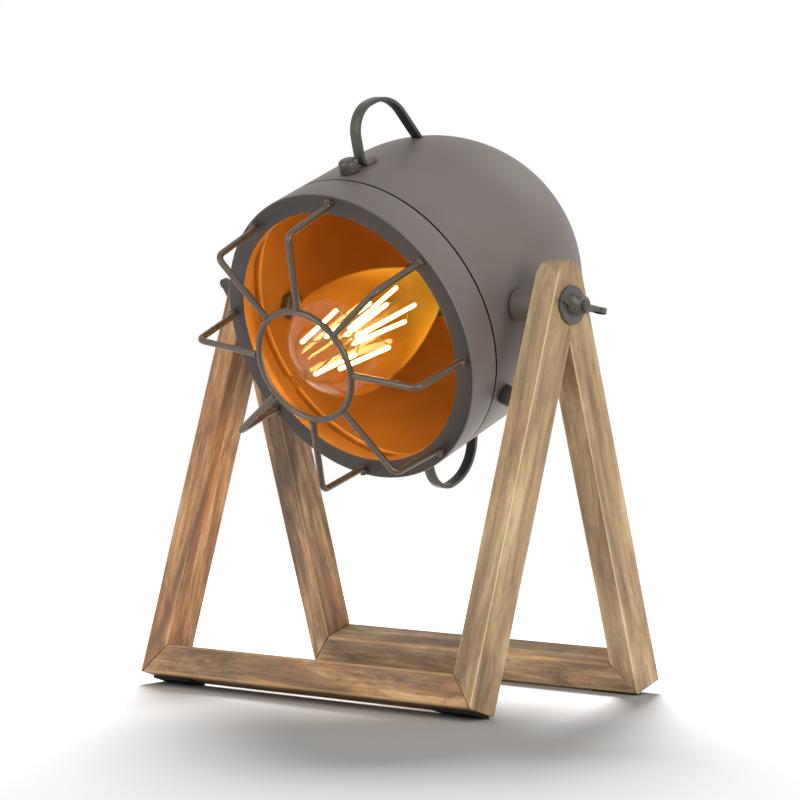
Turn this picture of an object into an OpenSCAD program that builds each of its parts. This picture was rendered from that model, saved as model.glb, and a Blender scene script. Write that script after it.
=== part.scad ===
// Tilting cage spotlight between the tops of a wooden A-shaped stand.
// Z is up and the floor is Z = 0. X runs along the tilt axis, and the light looks toward -Y.
// The origin is on the floor, under the middle of the whole lamp.
// Places in the shade are given by a turn round its axis, from straight up toward +X, a radius
// from that axis, and a distance along it in front of the tilt axis.

/* [Stand] */
// Width over the outsides of the legs
stand_w = 250; // [238:1:300]
// Width of a leg, seen from the front
leg_w = 16; // [12:0.5:18]
// Depth of a leg and of a rail, seen from the side
leg_t = 22; // [18:0.5:30]
// Height of a bottom rail
rail_h = 18; // [12:0.5:30]
// Lean of each frame from upright, in degrees
lean = 18; // [15:0.5:20]
// Half the spread of the two frames at the floor, at their inner edges
foot_half = 65.7; // [60:0.1:80]
// Height of the tilt axis above the fork where the front and rear legs meet
axis_rise = 20.4; // [15:0.1:24]
// Radius of the rounded top of each A
apex_r = 11.5; // [9:0.5:14]

/* [Foot pads] */
// Length of a pad along its rail
pad_l = 30; // [15:1:60]
// Width of a pad across its rail
pad_w = 14; // [8:0.5:18]
// Thickness of a pad
pad_t = 1.6; // [1.2:0.1:3]
// Inset of a pad from the outer side of its leg
pad_inset = 3; // [0:0.5:15]
// Clearance of the wood above the floor, where a pad is pressed flat
pad_lift = 0.6; // [0.4:0.1:0.9]

/* [Shade] */
// Outside radius of the shade
shade_r = 88; // [80:0.5:94]
// Thickness of the shade's metal
wall = 1.2; // [0.8:0.1:2]
// Distance from the tilt axis to the front face
face_s = 49.2; // [40:0.1:60]
// Depth of the front ring, from its face back to the joint line
bezel_d = 22.5; // [19:0.5:25]
// Length of the straight barrel behind the joint line
barrel_l = 57; // [52:0.5:66]
// Depth of the domed back
dome_l = 93; // [80:1:105]
// Radius of the flat at the middle of the dome
pole_r = 12; // [11:0.5:16]
// Tilt of the light below level, in degrees
tilt = 23; // [0:1:45]
// Radial width of the front edge's inward flange
flange_w = 3.4; // [2:0.1:5]

/* [Front ring] */
// Radial width of the front face
face_w = 11.5; // [9:0.5:16]
// Depth of the inner return behind the front face
return_d = 6.5; // [3:0.5:10]
// Radius of the outer front corner
face_round = 1.5; // [0.5:0.1:3]
// Open joint line between front ring and shade
joint_gap = 0.8; // [0.3:0.1:1.2]
// Width of a tab that holds the front ring
tab_w = 10; // [8:0.5:16]
// Reach of a tab behind its screw
tab_end = 3.6; // [3:0.1:3.8]

/* [Grille] */
// Thickness of the wire
wire_d = 3.8; // [2.4:0.1:4]
// Number of wires
wire_n = 8; // [8:1:8]
// Turn of the first wire from straight up, in degrees
wire_turn = 10.5; // [0:0.5:45]
// Height of the cage's flat front above the front face
cage_h = 38.8; // [25:0.1:45]
// Inward step of a wire between its foot and its front bend
cage_in = 3; // [0:0.5:8]
// Radius of the front bends
bend_r = 5; // [4:0.5:12]
// Length of the foot that lies outward on the front face
foot_l = 3.8; // [3:0.1:5]
// Radius of the middle ring, to the centre of its wire
ring_r = 33; // [24:0.5:45]

/* [Handles] */
// Width of the strap
strap_w = 6.6; // [6:0.2:10]
// Thickness of the strap
strap_t = 2.5; // [1.5:0.1:4]
// Turn of the handles from straight up and down, in degrees
strap_turn = 3.5; // [-8:0.5:8]
// Height of the handle above the shade, to the strap's middle
strap_rise = 32.3; // [28:0.1:45]
// Place of the front foot in front of the tilt axis
strap_front = 5.8; // [4:0.1:9]
// Set back of the crown's front corner from the front foot
strap_rake = 2; // [0:0.1:6]
// Place of the crown's rear corner behind the tilt axis
strap_back = 30; // [28.5:0.5:36]
// Place of the rear foot behind the tilt axis
strap_rear = 49; // [44:0.5:56]
// Radius of the crown's front bend
strap_bend = 16; // [8:0.5:17]
// Radius of the crown's rear bend
strap_bend_back = 26; // [8:0.5:28]
// Length of the front foot, which lies back along the shade
strap_foot = 11; // [6:0.5:14]
// Length of the tab bent over inside the shade
strap_tab = 9; // [5:0.5:12]

/* [Knobs] */
// Place of the knobs in front of the tilt axis
knob_s = 14.8; // [14:0.1:19]
// Turn of the first knob from straight up, in degrees
knob_turn = 2.8; // [-15:0.1:15]
// Diameter of a knob's head
knob_d = 11.6; // [8:0.2:12]
// Height of a knob's head
knob_h = 8; // [5:0.5:12]
// Rounding of a knob's top
knob_round = 3; // [0.5:0.1:4]
// Diameter of a knob's screw
screw_d = 4; // [3:0.5:5]
// Size across the flats of a knob's nut
knob_nut_af = 7; // [6:0.5:9]
// Thickness of a knob's nut
knob_nut_t = 3.2; // [2:0.1:5]

/* [Pivots] */
// Diameter of the boss between shade and leg
boss_d = 19.5; // [16:0.5:26]
// Chamfer of the boss where it meets the shade
boss_chamfer = 1.5; // [0.5:0.1:2]
// Diameter of the boss's threaded neck
neck_d = 9; // [8:0.5:11]
// Size across the flats of the nut on the neck
boss_nut_af = 15; // [13:0.5:19]
// Thickness of the nut on the neck
boss_nut_t = 5; // [3:0.5:8]
// Diameter of the stud
stud_d = 6; // [5:0.5:8]
// Depth of the stud in the boss
stud_in = 12; // [6:0.5:13]
// Diameter of the washer under the wing nut
washer_d = 22; // [16:0.5:26]
// Thickness of the washer
washer_t = 2.4; // [1:0.1:3]
// Diameter of the wing nut's hub at its foot
hub_d = 12; // [11:0.5:16]
// Height of the wing nut's hub
hub_h = 7.5; // [5:0.5:9]
// Reach of a wing from the axis
wing_reach = 18; // [13:0.5:20]
// Height of the wings above the washer
wing_h = 11; // [9.5:0.5:16]
// Thickness of a wing
wing_t = 3; // [1.5:0.1:4]
// Turn of the right wing nut from level, in degrees
wing_turn_right = -12; // [-90:1:90]
// Turn of the left wing nut from level, in degrees
wing_turn_left = -70; // [-90:1:90]

/* [Lampholder] */
// Diameter of the holder's body
holder_d = 40; // [36:0.5:46]
// Length of the holder's body
holder_l = 42; // [38:0.5:46]
// Thickness of the holder's side
holder_wall = 3.4; // [2:0.1:4.5]
// Length of the holder's rounded back
holder_cap_l = 12; // [8:0.5:14]
// Diameter of the hollow threaded tube that carries the holder
nipple_d = 10; // [8:0.5:12]
// Diameter of the way for the cable
cable_d = 6.6; // [5:0.1:7]
// Size across the flats of the tube's nuts
nipple_nut_af = 14; // [13:0.5:18]
// Thickness of the tube's nuts
nipple_nut_t = 3; // [2:0.5:5]
// Diameter of the gland
gland_d = 17; // [15:0.5:22]
// Length of the gland
gland_l = 9; // [7:0.5:14]

/* [Bulb] */
// Largest diameter of the glass
bulb_d = 66; // [58:0.5:70]
// Length from the tip to the end contact
bulb_l = 142; // [136:0.5:150]
// Place of the tip in front of the front face
bulb_out = 35; // [25:0.5:37]
// Length of the rounded front, from the widest place to the tip
bulb_nose = 34; // [28:0.5:45]
// Diameter of the screw cap
cap_d = 26.4; // [24:0.2:27]
// Length of the screw cap with its end contact
cap_l = 27; // [24:0.5:30]
// Thickness of the glass
glass_t = 1; // [0.6:0.1:2]
// Diameter of a filament stick
stick_d = 2.2; // [1:0.1:3]
// Number of sticks in each of the two tiers
stick_n = 4; // [2:1:6]

/* [Hidden] */
$fn = 96;
seat = 0.2;          // gap between pieces that seat on a curved face
run = 0.08;          // radial clearance of a shaft in its hole
air = 0.3;           // gap between pieces that move past each other
small_fn = 48;
bend_lap = 0.05;     // overlap of a bent bar's runs and bends
bend_swell = 1.01;
hex_fn = 6;

// Stand
fork_h = pad_lift + foot_half / tan(lean);
axis_h = fork_h + axis_rise;
peak_h = fork_h + leg_t / sin(lean);
apex_h = peak_h - apex_r / sin(lean);
leg_reach = (foot_half + leg_t) / sin(lean) + leg_t;
inner_x = stand_w / 2 - leg_w;

// Shade, along its axis from the tilt axis
seam_s = face_s - bezel_d;
dome_s = seam_s - barrel_l;
pole_s = dome_s - dome_l * sqrt(1 - pow(pole_r / shade_r, 2));
pole_turn = acos(pole_r / shade_r);
inner_r = shade_r - wall;
face_r = shade_r - face_w;
tab_r = inner_r - air;
tab_back = knob_s - tab_end;
gland_end = pole_s - gland_l;
dome_steps = 22;

// Grille
foot_r = shade_r - (face_w + foot_l) / 2 + wire_d / 2;
foot_bend = wire_d / 2 + 0.4;
wire_strays = [0.2, 1, -1.4, -0.5, -0.7, 1.9, 0.6, 1.3];  // each wire's turn from its even place
wire_s = face_s + wire_d / 2 + run;
cage_s = face_s + cage_h;

// The origin is midway between the grille's front and the gland's rear
front_reach = (cage_s - bend_r) * cos(tilt) + bend_r + wire_d / 2
    + (foot_r - cage_in - bend_r) * cos(wire_turn + wire_strays[0]) * sin(tilt);
back_reach = -gland_end * cos(tilt) + gland_d / 2 * sin(tilt);
axis_y = (front_reach - back_reach) / 2;

// Handles
strap_r = shade_r + strap_rise;
strap_foot_r = shade_r + seat / 2 + strap_t / 2;
strap_tab_in = wall + air + strap_t / 2 + 0.15;
strap_tight = 3.5;
strap_bends = [0, strap_tight, strap_bend, strap_bend_back, strap_tight, 0];

// Knobs
knob_step = 120;
knob_foot_r = shade_r + air;
nut_r = tab_r - wall - air;
screw_end_r = nut_r - knob_nut_t - 2;

// Pivots
boss_nut_x = sqrt(pow(inner_r, 2) - pow(boss_nut_af / sqrt(3), 2)) - seat;
washer_x = stand_w / 2;
wing_x = washer_x + washer_t + seat;
stud_end_x = wing_x + hub_h + 1.5;
stud_start_x = inner_x - air - stud_in;

// Bulb and holder, along the shade's axis
tip_s = face_s + bulb_out;
wide_s = tip_s - bulb_nose;
contact_s = tip_s - bulb_l;
cap_s = contact_s + cap_l;
contact_l = 2.4;
cap_wall = 0.5;
neck_r = cap_d / 2 - cap_wall - seat;
neck_in = 7;
glass_full = 0.65;   // the smaller, the fuller the glass behind its widest place
holder_front = cap_s - 1;
holder_back = holder_front - holder_l;
shell_wall = 0.6;
shell_r = cap_d / 2 + run;
insert_l = 6;
insert_s = contact_s - 2;
cap_back = holder_back - holder_cap_l;
nipple_front = holder_back - 6;
nipple_back = gland_end + 2;
stem_l = 24;
tier_turns = [-55, 1];             // first stick of the front tier and of the rear tier
tier_fronts = [tip_s - 10, tip_s - 38];
tier_backs = [tip_s - 50, cap_s + 28.4];
tier_front_rs = [14, 4.5];
tier_back_rs = [20, 10.8];
stem_tip_s = tier_fronts[1] + 1.8;
stem_tip_r = 1.6;
prop_d = 1;

// Colours, as the lamp shows them
wood_color = "#a98a62";
rail_color = "#9b7d59";
pad_color = "#262320";
shade_color = "#77706a";
ring_color = "#57504b";
iron_color = "#4a4844";
brass_color = "#b08a4a";
black_color = "#2b2927";
glass_color = "#e6e2da";
glow_color = "#ffd98a";

function unit(v) = v / norm(v);

// Half the angle between the two runs that meet at point i of a path
function half_angle(path, i) =
    acos(unit(path[i - 1] - path[i]) * unit(path[i + 1] - path[i])) / 2;

// What a bend of radius r takes off each run beside point i
function bend_cut(path, i, r) =
    i == 0 || i == len(path) - 1 ? 0 : r / tan(half_angle(path, i));

// Whether a path turns left at point i
function turns_left(path, i) =
    cross(path[i] - path[i - 1], path[i + 1] - path[i]) > 0;

// Outside radius of the shade at a place along its axis
function shade_r_at(s) =
    s >= dome_s ? shade_r : shade_r * sqrt(1 - pow((dome_s - s) / dome_l, 2));

// Outline points of the domed back, from the barrel to the flat at its middle
function dome_arc(inset) = [
    for (k = [0 : dome_steps])
        let (a = pole_turn * k / dome_steps)
        [(shade_r - inset) * cos(a), dome_s - (dome_l - inset) * sin(a)]
];

// A quarter of an ellipse, for rounded corners and the bulb's nose
function quarter(centre, rx, ry, from, to, steps) = [
    for (k = [0 : steps])
        let (a = from + (to - from) * k / steps)
        centre + [rx * cos(a), ry * sin(a)]
];

module in_shade() translate([0, axis_y, axis_h]) rotate([90 + tilt, 0, 0]) children();

// Puts what stands out along +X, in the plane of X and Y, at a turn round the shade's axis
module radial_plane(turn) rotate([0, 0, 90 - turn]) rotate([90, 0, 0]) children();

// Stands a piece on its own axis at a turn, a place along the shade's axis and a radius
module on_radius(turn, s, r) rotate([0, 0, 90 - turn]) translate([r, 0, s]) rotate([0, 90, 0]) children();

// A bar that follows a flat path of runs, with a bend radius for each of its points; the child
// is its section, which swells a little in the bends so that runs and bends join cleanly
module bent_bar(path, bends) {
    last = len(path) - 1;
    for (i = [0 : last - 1]) {
        way = unit(path[i + 1] - path[i]);
        from = bend_cut(path, i, bends[i]) - (i > 0 ? bend_lap : 0);
        to = norm(path[i + 1] - path[i]) - bend_cut(path, i + 1, bends[i + 1])
            + (i < last - 1 ? bend_lap : 0);
        translate(path[i] + way * from) rotate([0, 0, atan2(way.y, way.x)]) rotate([90, 0, 90])
            linear_extrude(to - from) children();
    }
    for (i = [1 : last - 1]) {
        before = unit(path[i - 1] - path[i]);
        after = unit(path[i + 1] - path[i]);
        middle = path[i] + unit(before + after) * bends[i] / sin(half_angle(path, i));
        first = path[i] + (turns_left(path, i) ? before : after) * bend_cut(path, i, bends[i]) - middle;
        translate(middle) rotate([0, 0, atan2(first.y, first.x)])
            rotate_extrude(angle = 180 - 2 * half_angle(path, i))
            translate([bends[i], 0]) scale(bend_swell) children();
    }
}

// Stand

module front_frame() translate([0, axis_y - foot_half, pad_lift]) rotate([90 - lean, 0, 0]) children();

module rear_frame() translate([0, 2 * axis_y, 0]) mirror([0, 1, 0]) front_frame() children();

module leg_blank(side) linear_extrude(leg_t)
    polygon([
        [side * stand_w / 2, 0],
        [side * stand_w / 2, leg_reach],
        [side * inner_x, leg_reach],
        [side * inner_x, rail_h]
    ]);

module rail_blank() linear_extrude(leg_t)
    polygon([[-stand_w / 2, 0], [stand_w / 2, 0], [inner_x, rail_h], [-inner_x, rail_h]]);

// Everything under the rounded top of the A, on one side of the joint between its legs
module under_apex(side) {
    block = 2 * (foot_half + leg_t);
    shoulder = apex_h + apex_r * sin(lean);
    intersection() {
        translate([-stand_w, axis_y + (side < 0 ? -block : 0), -1]) cube([2 * stand_w, block, peak_h + 2]);
        union() {
            translate([-stand_w, axis_y - block, -1]) cube([2 * stand_w, 2 * block, shoulder + 1]);
            translate([-stand_w, axis_y, apex_h]) rotate([0, 90, 0]) cylinder(r = apex_r, h = 2 * stand_w);
        }
    }
}

module pivot_bore() translate([-stand_w, axis_y, axis_h]) rotate([0, 90, 0])
    cylinder(d = stud_d + 2 * run, h = 2 * stand_w, $fn = small_fn);

module front_leg(side) color(wood_color) difference() {
    intersection() {
        front_frame() leg_blank(side);
        under_apex(-1);
    }
    pivot_bore();
}

module rear_leg(side) color(wood_color) difference() {
    intersection() {
        rear_frame() leg_blank(side);
        under_apex(1);
    }
    pivot_bore();
}

module front_left_leg() front_leg(-1);
module front_right_leg() front_leg(1);
module rear_left_leg() rear_leg(-1);
module rear_right_leg() rear_leg(1);

module front_rail() color(rail_color) front_frame() rail_blank();
module rear_rail() color(rail_color) rear_frame() rail_blank();

// A pad under one end of a rail, in the frame's own plane
module pad_blank(side) translate([side * (stand_w / 2 - pad_inset - pad_l / 2), -pad_t / 2, pad_w / 2])
    cube([pad_l, pad_t, pad_w], center = true);

module foot_pads() color(pad_color) difference() {
    for (side = [-1, 1]) {
        front_frame() pad_blank(side);
        rear_frame() pad_blank(side);
    }
    translate([-stand_w, -stand_w, -stand_w]) cube([2 * stand_w, 2 * stand_w, stand_w]);
}

// Pivots

// Lays what stands up along +Z out along the tilt axis, to the right or to the left
module on_axis(side) translate([0, axis_y, axis_h]) rotate([0, side * 90, 0]) children();

module washer(side) color(iron_color) on_axis(side) translate([0, 0, washer_x]) difference() {
    cylinder(d = washer_d, h = washer_t);
    translate([0, 0, -1]) cylinder(d = stud_d + 2 * run, h = washer_t + 2, $fn = small_fn);
}

// One wing, from the hub out to its round tip
module wing_outline() {
    tip_r = wing_h * 0.3;
    tip = [wing_reach - tip_r, wing_h - tip_r];
    translate(tip) circle(tip_r, $fn = small_fn);
    polygon([
        [stud_d / 2 + 0.6, 0.8],
        [hub_d / 2 + 0.4, 0.8],
        tip + tip_r * [cos(-20), sin(-20)],
        tip + tip_r * [cos(150), sin(150)],
        [hub_d / 2 - 0.2, hub_h],
        [stud_d / 2 + 0.6, hub_h]
    ]);
}

module wing_nut(side, turn) color(iron_color) on_axis(side) translate([0, 0, wing_x]) difference() {
    union() {
        cylinder(d1 = hub_d, d2 = hub_d - 2, h = hub_h);
        rotate([0, 0, side * turn + 90]) for (a = [0, 180])
            rotate([90, 0, a]) translate([0, 0, -wing_t / 2]) linear_extrude(wing_t) wing_outline();
    }
    translate([0, 0, -1]) cylinder(d = stud_d + 2 * run, h = wing_h + 2, $fn = small_fn);
}

// The boss seats on the round barrel and carries the stud; its neck goes through the shade
module pivot_boss(side) color(iron_color) on_axis(side) difference() {
    union() {
        difference() {
            rotate_extrude() polygon([
                [0, shade_r - 2],
                [boss_d / 2 - boss_chamfer, shade_r - 2],
                [boss_d / 2 - boss_chamfer, shade_r + seat],
                [boss_d / 2, shade_r + seat + boss_chamfer],
                [boss_d / 2, inner_x - air],
                [0, inner_x - air]
            ]);
            barrel_core(shade_r + seat);
        }
        translate([0, 0, boss_nut_x - boss_nut_t - 1.5])
            cylinder(d = neck_d, h = shade_r + 3 - boss_nut_x + boss_nut_t + 1.5);
    }
    translate([0, 0, stud_start_x]) cylinder(d = stud_d, h = stand_w, $fn = small_fn);
}

// The space inside a barrel of radius r, in the frame of a piece that lies along the tilt axis
module barrel_core(r) rotate([90, 0, 0]) translate([0, 0, -shade_r]) cylinder(r = r, h = 2 * shade_r);

module boss_nut(side) color(iron_color) on_axis(side)
    translate([0, 0, boss_nut_x - boss_nut_t]) difference() {
        rotate([0, 0, 18]) cylinder(d = boss_nut_af * 2 / sqrt(3), h = boss_nut_t, $fn = hex_fn);
        translate([0, 0, -1]) cylinder(d = neck_d + 2 * run, h = boss_nut_t + 2, $fn = small_fn);
    }

module pivot_stud(side) color(iron_color) on_axis(side)
    translate([0, 0, stud_start_x]) cylinder(d = stud_d, h = stud_end_x - stud_start_x, $fn = small_fn);

module left_washer() washer(-1);
module right_washer() washer(1);
module left_wing_nut() wing_nut(-1, wing_turn_left);
module right_wing_nut() wing_nut(1, wing_turn_right);
module left_pivot_boss() pivot_boss(-1);
module right_pivot_boss() pivot_boss(1);
module left_boss_nut() boss_nut(-1);
module right_boss_nut() boss_nut(1);
module left_pivot_stud() pivot_stud(-1);
module right_pivot_stud() pivot_stud(1);

// Shade

// Section of the spun shade: dome, barrel and the inward flange at its front edge
module shade_section() polygon(concat(
    [[shade_r, seam_s - joint_gap]],
    dome_arc(0),
    [[0, pole_s], [0, pole_s + wall]],
    [for (k = [dome_steps : -1 : 0]) dome_arc(wall)[k]],
    [
        [inner_r, seam_s - joint_gap - wall],
        [inner_r - flange_w, seam_s - joint_gap - wall],
        [inner_r - flange_w, seam_s - joint_gap]
    ]
));

module shade_shell() color(shade_color) in_shade() difference() {
    rotate_extrude() shade_section();
    for (k = [0 : 2]) {
        on_radius(knob_turn + k * knob_step, knob_s, shade_r - 6)
            cylinder(d = screw_d + 2 * run, h = 12, $fn = small_fn);
        rotate([0, 0, 90 - knob_turn - k * knob_step])
            translate([inner_r - flange_w - 1, -tab_w / 2 - air, seam_s - joint_gap - wall - 1])
            cube([flange_w + 1, tab_w + 2 * air, wall + 2]);
    }
    for (a = [90, -90]) on_radius(a, 0, shade_r - 8) cylinder(d = neck_d + 2 * run, h = 16, $fn = small_fn);
    for (a = [0, 180]) radial_plane(strap_turn + a) intersection() {
        bent_bar(strap_path(), strap_bends) square([strap_t + 2 * air, strap_w + 2 * air], center = true);
        translate([0, -strap_rear - shade_r, -strap_w]) cube([shade_r + 5, shade_r + 5, 2 * strap_w]);
    }
    translate([0, 0, pole_s - 1]) cylinder(d = nipple_d + 2 * run, h = wall + 2, $fn = small_fn);
}

// Handles: the front foot lies on the barrel under the loop, and the rear foot goes through a
// slot in the dome and is bent over inside

function strap_path() = [
    [strap_foot_r, strap_front - strap_foot],
    [strap_foot_r, strap_front],
    [strap_r, strap_front - strap_rake],
    [strap_r, -strap_back],
    [shade_r_at(-strap_rear) - strap_tab_in, -strap_rear],
    [shade_r_at(-strap_rear - strap_tab) - strap_tab_in, -strap_rear - strap_tab]
];

module strap() bent_bar(strap_path(), strap_bends) square([strap_t, strap_w], center = true);

module top_handle() color(iron_color) in_shade() radial_plane(strap_turn) strap();
module bottom_handle() color(iron_color) in_shade() radial_plane(strap_turn + 180) strap();

// Knobs

module knob_section() polygon(concat(
    [[0, 0], [knob_d / 2 - 0.5, 0], [knob_d / 2, 0.5]],
    quarter([knob_d / 2 - knob_round, knob_h - knob_round], knob_round, knob_round, 0, 90, 8),
    [[0, knob_h]]
));

module knob(k) color(iron_color) in_shade() on_radius(knob_turn + k * knob_step, knob_s, 0) {
    translate([0, 0, knob_foot_r]) rotate_extrude() knob_section();
    translate([0, 0, screw_end_r]) cylinder(d = screw_d, h = knob_foot_r + 1 - screw_end_r, $fn = small_fn);
}

module top_knob() knob(0);
module right_knob() knob(1);
module left_knob() knob(2);

module knob_nuts() color(iron_color) in_shade() for (k = [0 : 2])
    on_radius(knob_turn + k * knob_step, knob_s, nut_r - knob_nut_t) difference() {
        cylinder(d = knob_nut_af * 2 / sqrt(3), h = knob_nut_t, $fn = hex_fn);
        translate([0, 0, -1]) cylinder(d = screw_d + 2 * run, h = knob_nut_t + 2, $fn = small_fn);
    }

// Front ring

// Section of the pressed ring: skirt, rounded corner, flat face and inner return
module bezel_section() {
    deep_r = shade_r - face_round;
    polygon(concat(
        [[inner_r, seam_s], [shade_r, seam_s]],
        quarter([deep_r, face_s - face_round], face_round, face_round, 0, 90, 8),
        [
            [face_r, face_s],
            [face_r, face_s - return_d],
            [face_r + wall, face_s - return_d],
            [face_r + wall, face_s - wall],
            [inner_r, face_s - wall]
        ]
    ));
}

// A tab welded inside the skirt; its open slot lets the ring come off once the knob is slack
module ring_tab(turn) {
    front = face_s - wall - 4;
    rotate([0, 0, 90 - turn]) difference() {
        intersection() {
            translate([0, -tab_w / 2, tab_back]) cube([shade_r, tab_w, front - tab_back]);
            union() {
                tube(tab_r, tab_r - wall, tab_back, front);
                tube(inner_r - run, tab_r - wall, seam_s + air, front);
            }
        }
        translate([0, 0, knob_s]) rotate([0, 90, 0])
            cylinder(d = screw_d + 2 * air, h = shade_r + 5, $fn = small_fn);
        translate([0, -screw_d / 2 - air, tab_back - 1])
            cube([shade_r + 5, screw_d + 2 * air, knob_s - tab_back + 1]);
    }
}

module tube(outer, inner, from, to) translate([0, 0, from]) difference() {
    cylinder(r = outer, h = to - from);
    translate([0, 0, -1]) cylinder(r = inner, h = to - from + 2);
}

module bezel_ring() color(ring_color) in_shade() rotate_extrude() bezel_section();

module ring_tabs() color(ring_color) in_shade() for (k = [0 : 2]) ring_tab(knob_turn + k * knob_step);

// Grille

// One wire: its foot lies outward on the front face, and its front end is welded to the ring's side
function wire_path() = [
    [foot_r + foot_l, wire_s],
    [foot_r, wire_s],
    [foot_r - cage_in, cage_s],
    [ring_r + wire_d / 2 + run, cage_s]
];

module grille_wire(k) color(iron_color) in_shade()
    radial_plane(wire_turn + wire_strays[k - 1] + (k - 1) * 360 / wire_n)
    bent_bar(wire_path(), [0, foot_bend, bend_r, 0]) circle(d = wire_d, $fn = small_fn);

module grille_ring() color(iron_color) in_shade() translate([0, 0, cage_s])
    rotate_extrude() translate([ring_r, 0]) circle(d = wire_d, $fn = small_fn);

module grille_wire_1() grille_wire(1);
module grille_wire_2() grille_wire(2);
module grille_wire_3() grille_wire(3);
module grille_wire_4() grille_wire(4);
module grille_wire_5() grille_wire(5);
module grille_wire_6() grille_wire(6);
module grille_wire_7() grille_wire(7);
module grille_wire_8() grille_wire(8);

// Lampholder

module holder_body() color(black_color) in_shade() difference() {
    translate([0, 0, holder_back]) cylinder(d = holder_d, h = holder_l);
    translate([0, 0, holder_back + 3]) cylinder(r = holder_d / 2 - holder_wall, h = holder_l);
    translate([0, 0, holder_back - 1]) cylinder(d = holder_d - 14, h = 5);
}

module holder_cap() color(black_color) in_shade() rotate_extrude() polygon(concat(
    [[nipple_d / 2 + run, holder_back], [nipple_d / 2 + run, cap_back]],
    quarter([nipple_d, holder_back], holder_d / 2 - nipple_d, holder_cap_l, -90, 0, 10)
));

module holder_screw_shell() color(brass_color) in_shade()
    tube(shell_r + shell_wall, shell_r, insert_s + 2, holder_front - 2);

module holder_insert() color("#d8d2c6") in_shade() difference() {
    translate([0, 0, insert_s - insert_l]) cylinder(r = holder_d / 2 - holder_wall - seat, h = insert_l);
    for (a = [0, 180]) rotate([0, 0, a]) translate([9, 0, insert_s - insert_l - 1])
        cylinder(d = 3, h = insert_l + 2, $fn = small_fn);
}

module holder_contact() color(brass_color) in_shade() translate([0, 0, insert_s]) cylinder(r = 4, h = 1.6);

module holder_nipple() color(brass_color) in_shade()
    tube(nipple_d / 2, cable_d / 2, nipple_back, nipple_front);

module nipple_nuts() color(iron_color) in_shade()
    for (s = [pole_s + wall, cap_back - nipple_nut_t]) translate([0, 0, s]) difference() {
        cylinder(d = nipple_nut_af * 2 / sqrt(3), h = nipple_nut_t, $fn = hex_fn);
        translate([0, 0, -1]) cylinder(d = nipple_d + 2 * run, h = nipple_nut_t + 2, $fn = small_fn);
    }

module cable_gland() color(black_color) in_shade() difference() {
    rotate_extrude() polygon([
        [0, pole_s],
        [gland_d / 2, pole_s],
        [gland_d / 2, pole_s - gland_l * 0.45],
        [gland_d / 2 - 2, gland_end + 0.8],
        [gland_d / 2 - 2.8, gland_end],
        [0, gland_end]
    ]);
    translate([0, 0, nipple_back - air]) cylinder(d = nipple_d + 2 * run, h = gland_l, $fn = small_fn);
    translate([0, 0, gland_end - 1]) cylinder(d = cable_d, h = gland_l, $fn = small_fn);
}

// Bulb

// Outline of the glass from its neck to its tip, drawn in by an inset
function glass_line(inset) = concat(
    [[neck_r - inset, cap_s - neck_in]],
    [for (k = [0 : 14])
        let (t = k / 14, swell = (1 - cos(180 * pow(t, glass_full))) / 2)
        [neck_r + (bulb_d / 2 - neck_r) * swell - inset, cap_s + (wide_s - cap_s) * t]],
    [for (k = [1 : 9])
        [(bulb_d / 2 - inset) * cos(10 * k), wide_s + (bulb_nose - inset) * sin(10 * k)]]
);

module bulb_glass() color(glass_color, 0.35) in_shade() rotate_extrude()
    polygon(concat(glass_line(0), [for (k = [len(glass_line(0)) - 1 : -1 : 0]) glass_line(glass_t)[k]]));

module bulb_cap() color(brass_color) in_shade() {
    tube(cap_d / 2, cap_d / 2 - cap_wall, contact_s + contact_l, cap_s);
    tube(cap_d / 2, 5, contact_s + contact_l - cap_wall, contact_s + contact_l + cap_wall);
}

module bulb_contact() color(black_color) in_shade() translate([0, 0, contact_s])
    cylinder(r1 = 4, r2 = 5 - run, h = contact_l - cap_wall);

module bulb_stem() color(glass_color, 0.5) in_shade() rotate_extrude() polygon([
    [0, cap_s - neck_in + 1],
    [neck_r - glass_t - air, cap_s - neck_in + 1],
    [neck_r - glass_t - air - 1, cap_s - neck_in + 4],
    [4.5, cap_s + 6],
    [3.2, cap_s + stem_l],
    [stem_tip_r, cap_s + stem_l + 4],
    [stem_tip_r, stem_tip_s],
    [0, stem_tip_s]
]);

// A round rod between two points given by turn, radius and place along the axis
module rod(from, to, d) {
    a = [from[1] * sin(from[0]), from[1] * cos(from[0]), from[2]];
    b = [to[1] * sin(to[0]), to[1] * cos(to[0]), to[2]];
    way = b - a;
    translate(a) rotate([0, acos(way.z / norm(way)), atan2(way.y, way.x)])
        cylinder(d = d, h = norm(way), $fn = small_fn);
}

// Two tiers of glowing sticks, which both open out toward the cap
module bulb_filaments() color(glow_color) in_shade() for (tier = [0, 1], k = [0 : stick_n - 1]) {
    turn = tier_turns[tier] + k * 360 / stick_n;
    rod([turn, tier_front_rs[tier], tier_fronts[tier]], [turn, tier_back_rs[tier], tier_backs[tier]],
        stick_d);
}

// Fine wires from the stem out to both ends of every stick
module bulb_supports() color(iron_color) in_shade() for (k = [0 : stick_n - 1]) {
    front = tier_turns[0] + k * 360 / stick_n;
    back = tier_turns[1] + k * 360 / stick_n;
    reach = stem_tip_r + 0.1;
    rod([front, reach + 0.5, tier_fronts[1] - 2],
        [front, tier_front_rs[0] - stick_d / 2 - 0.45, tier_fronts[0] - 0.7], prop_d);
    rod([front, reach, tier_backs[0] - 0.8], [front, tier_back_rs[0], tier_backs[0] - 0.8], prop_d);
    rod([back, reach, tier_fronts[1] + 0.65], [back, tier_front_rs[1], tier_fronts[1] + 0.65], prop_d);
    rod([back, 3.9, tier_backs[1] - 7.6], [back, tier_back_rs[1], tier_backs[1] - 0.5], prop_d);
}

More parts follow.
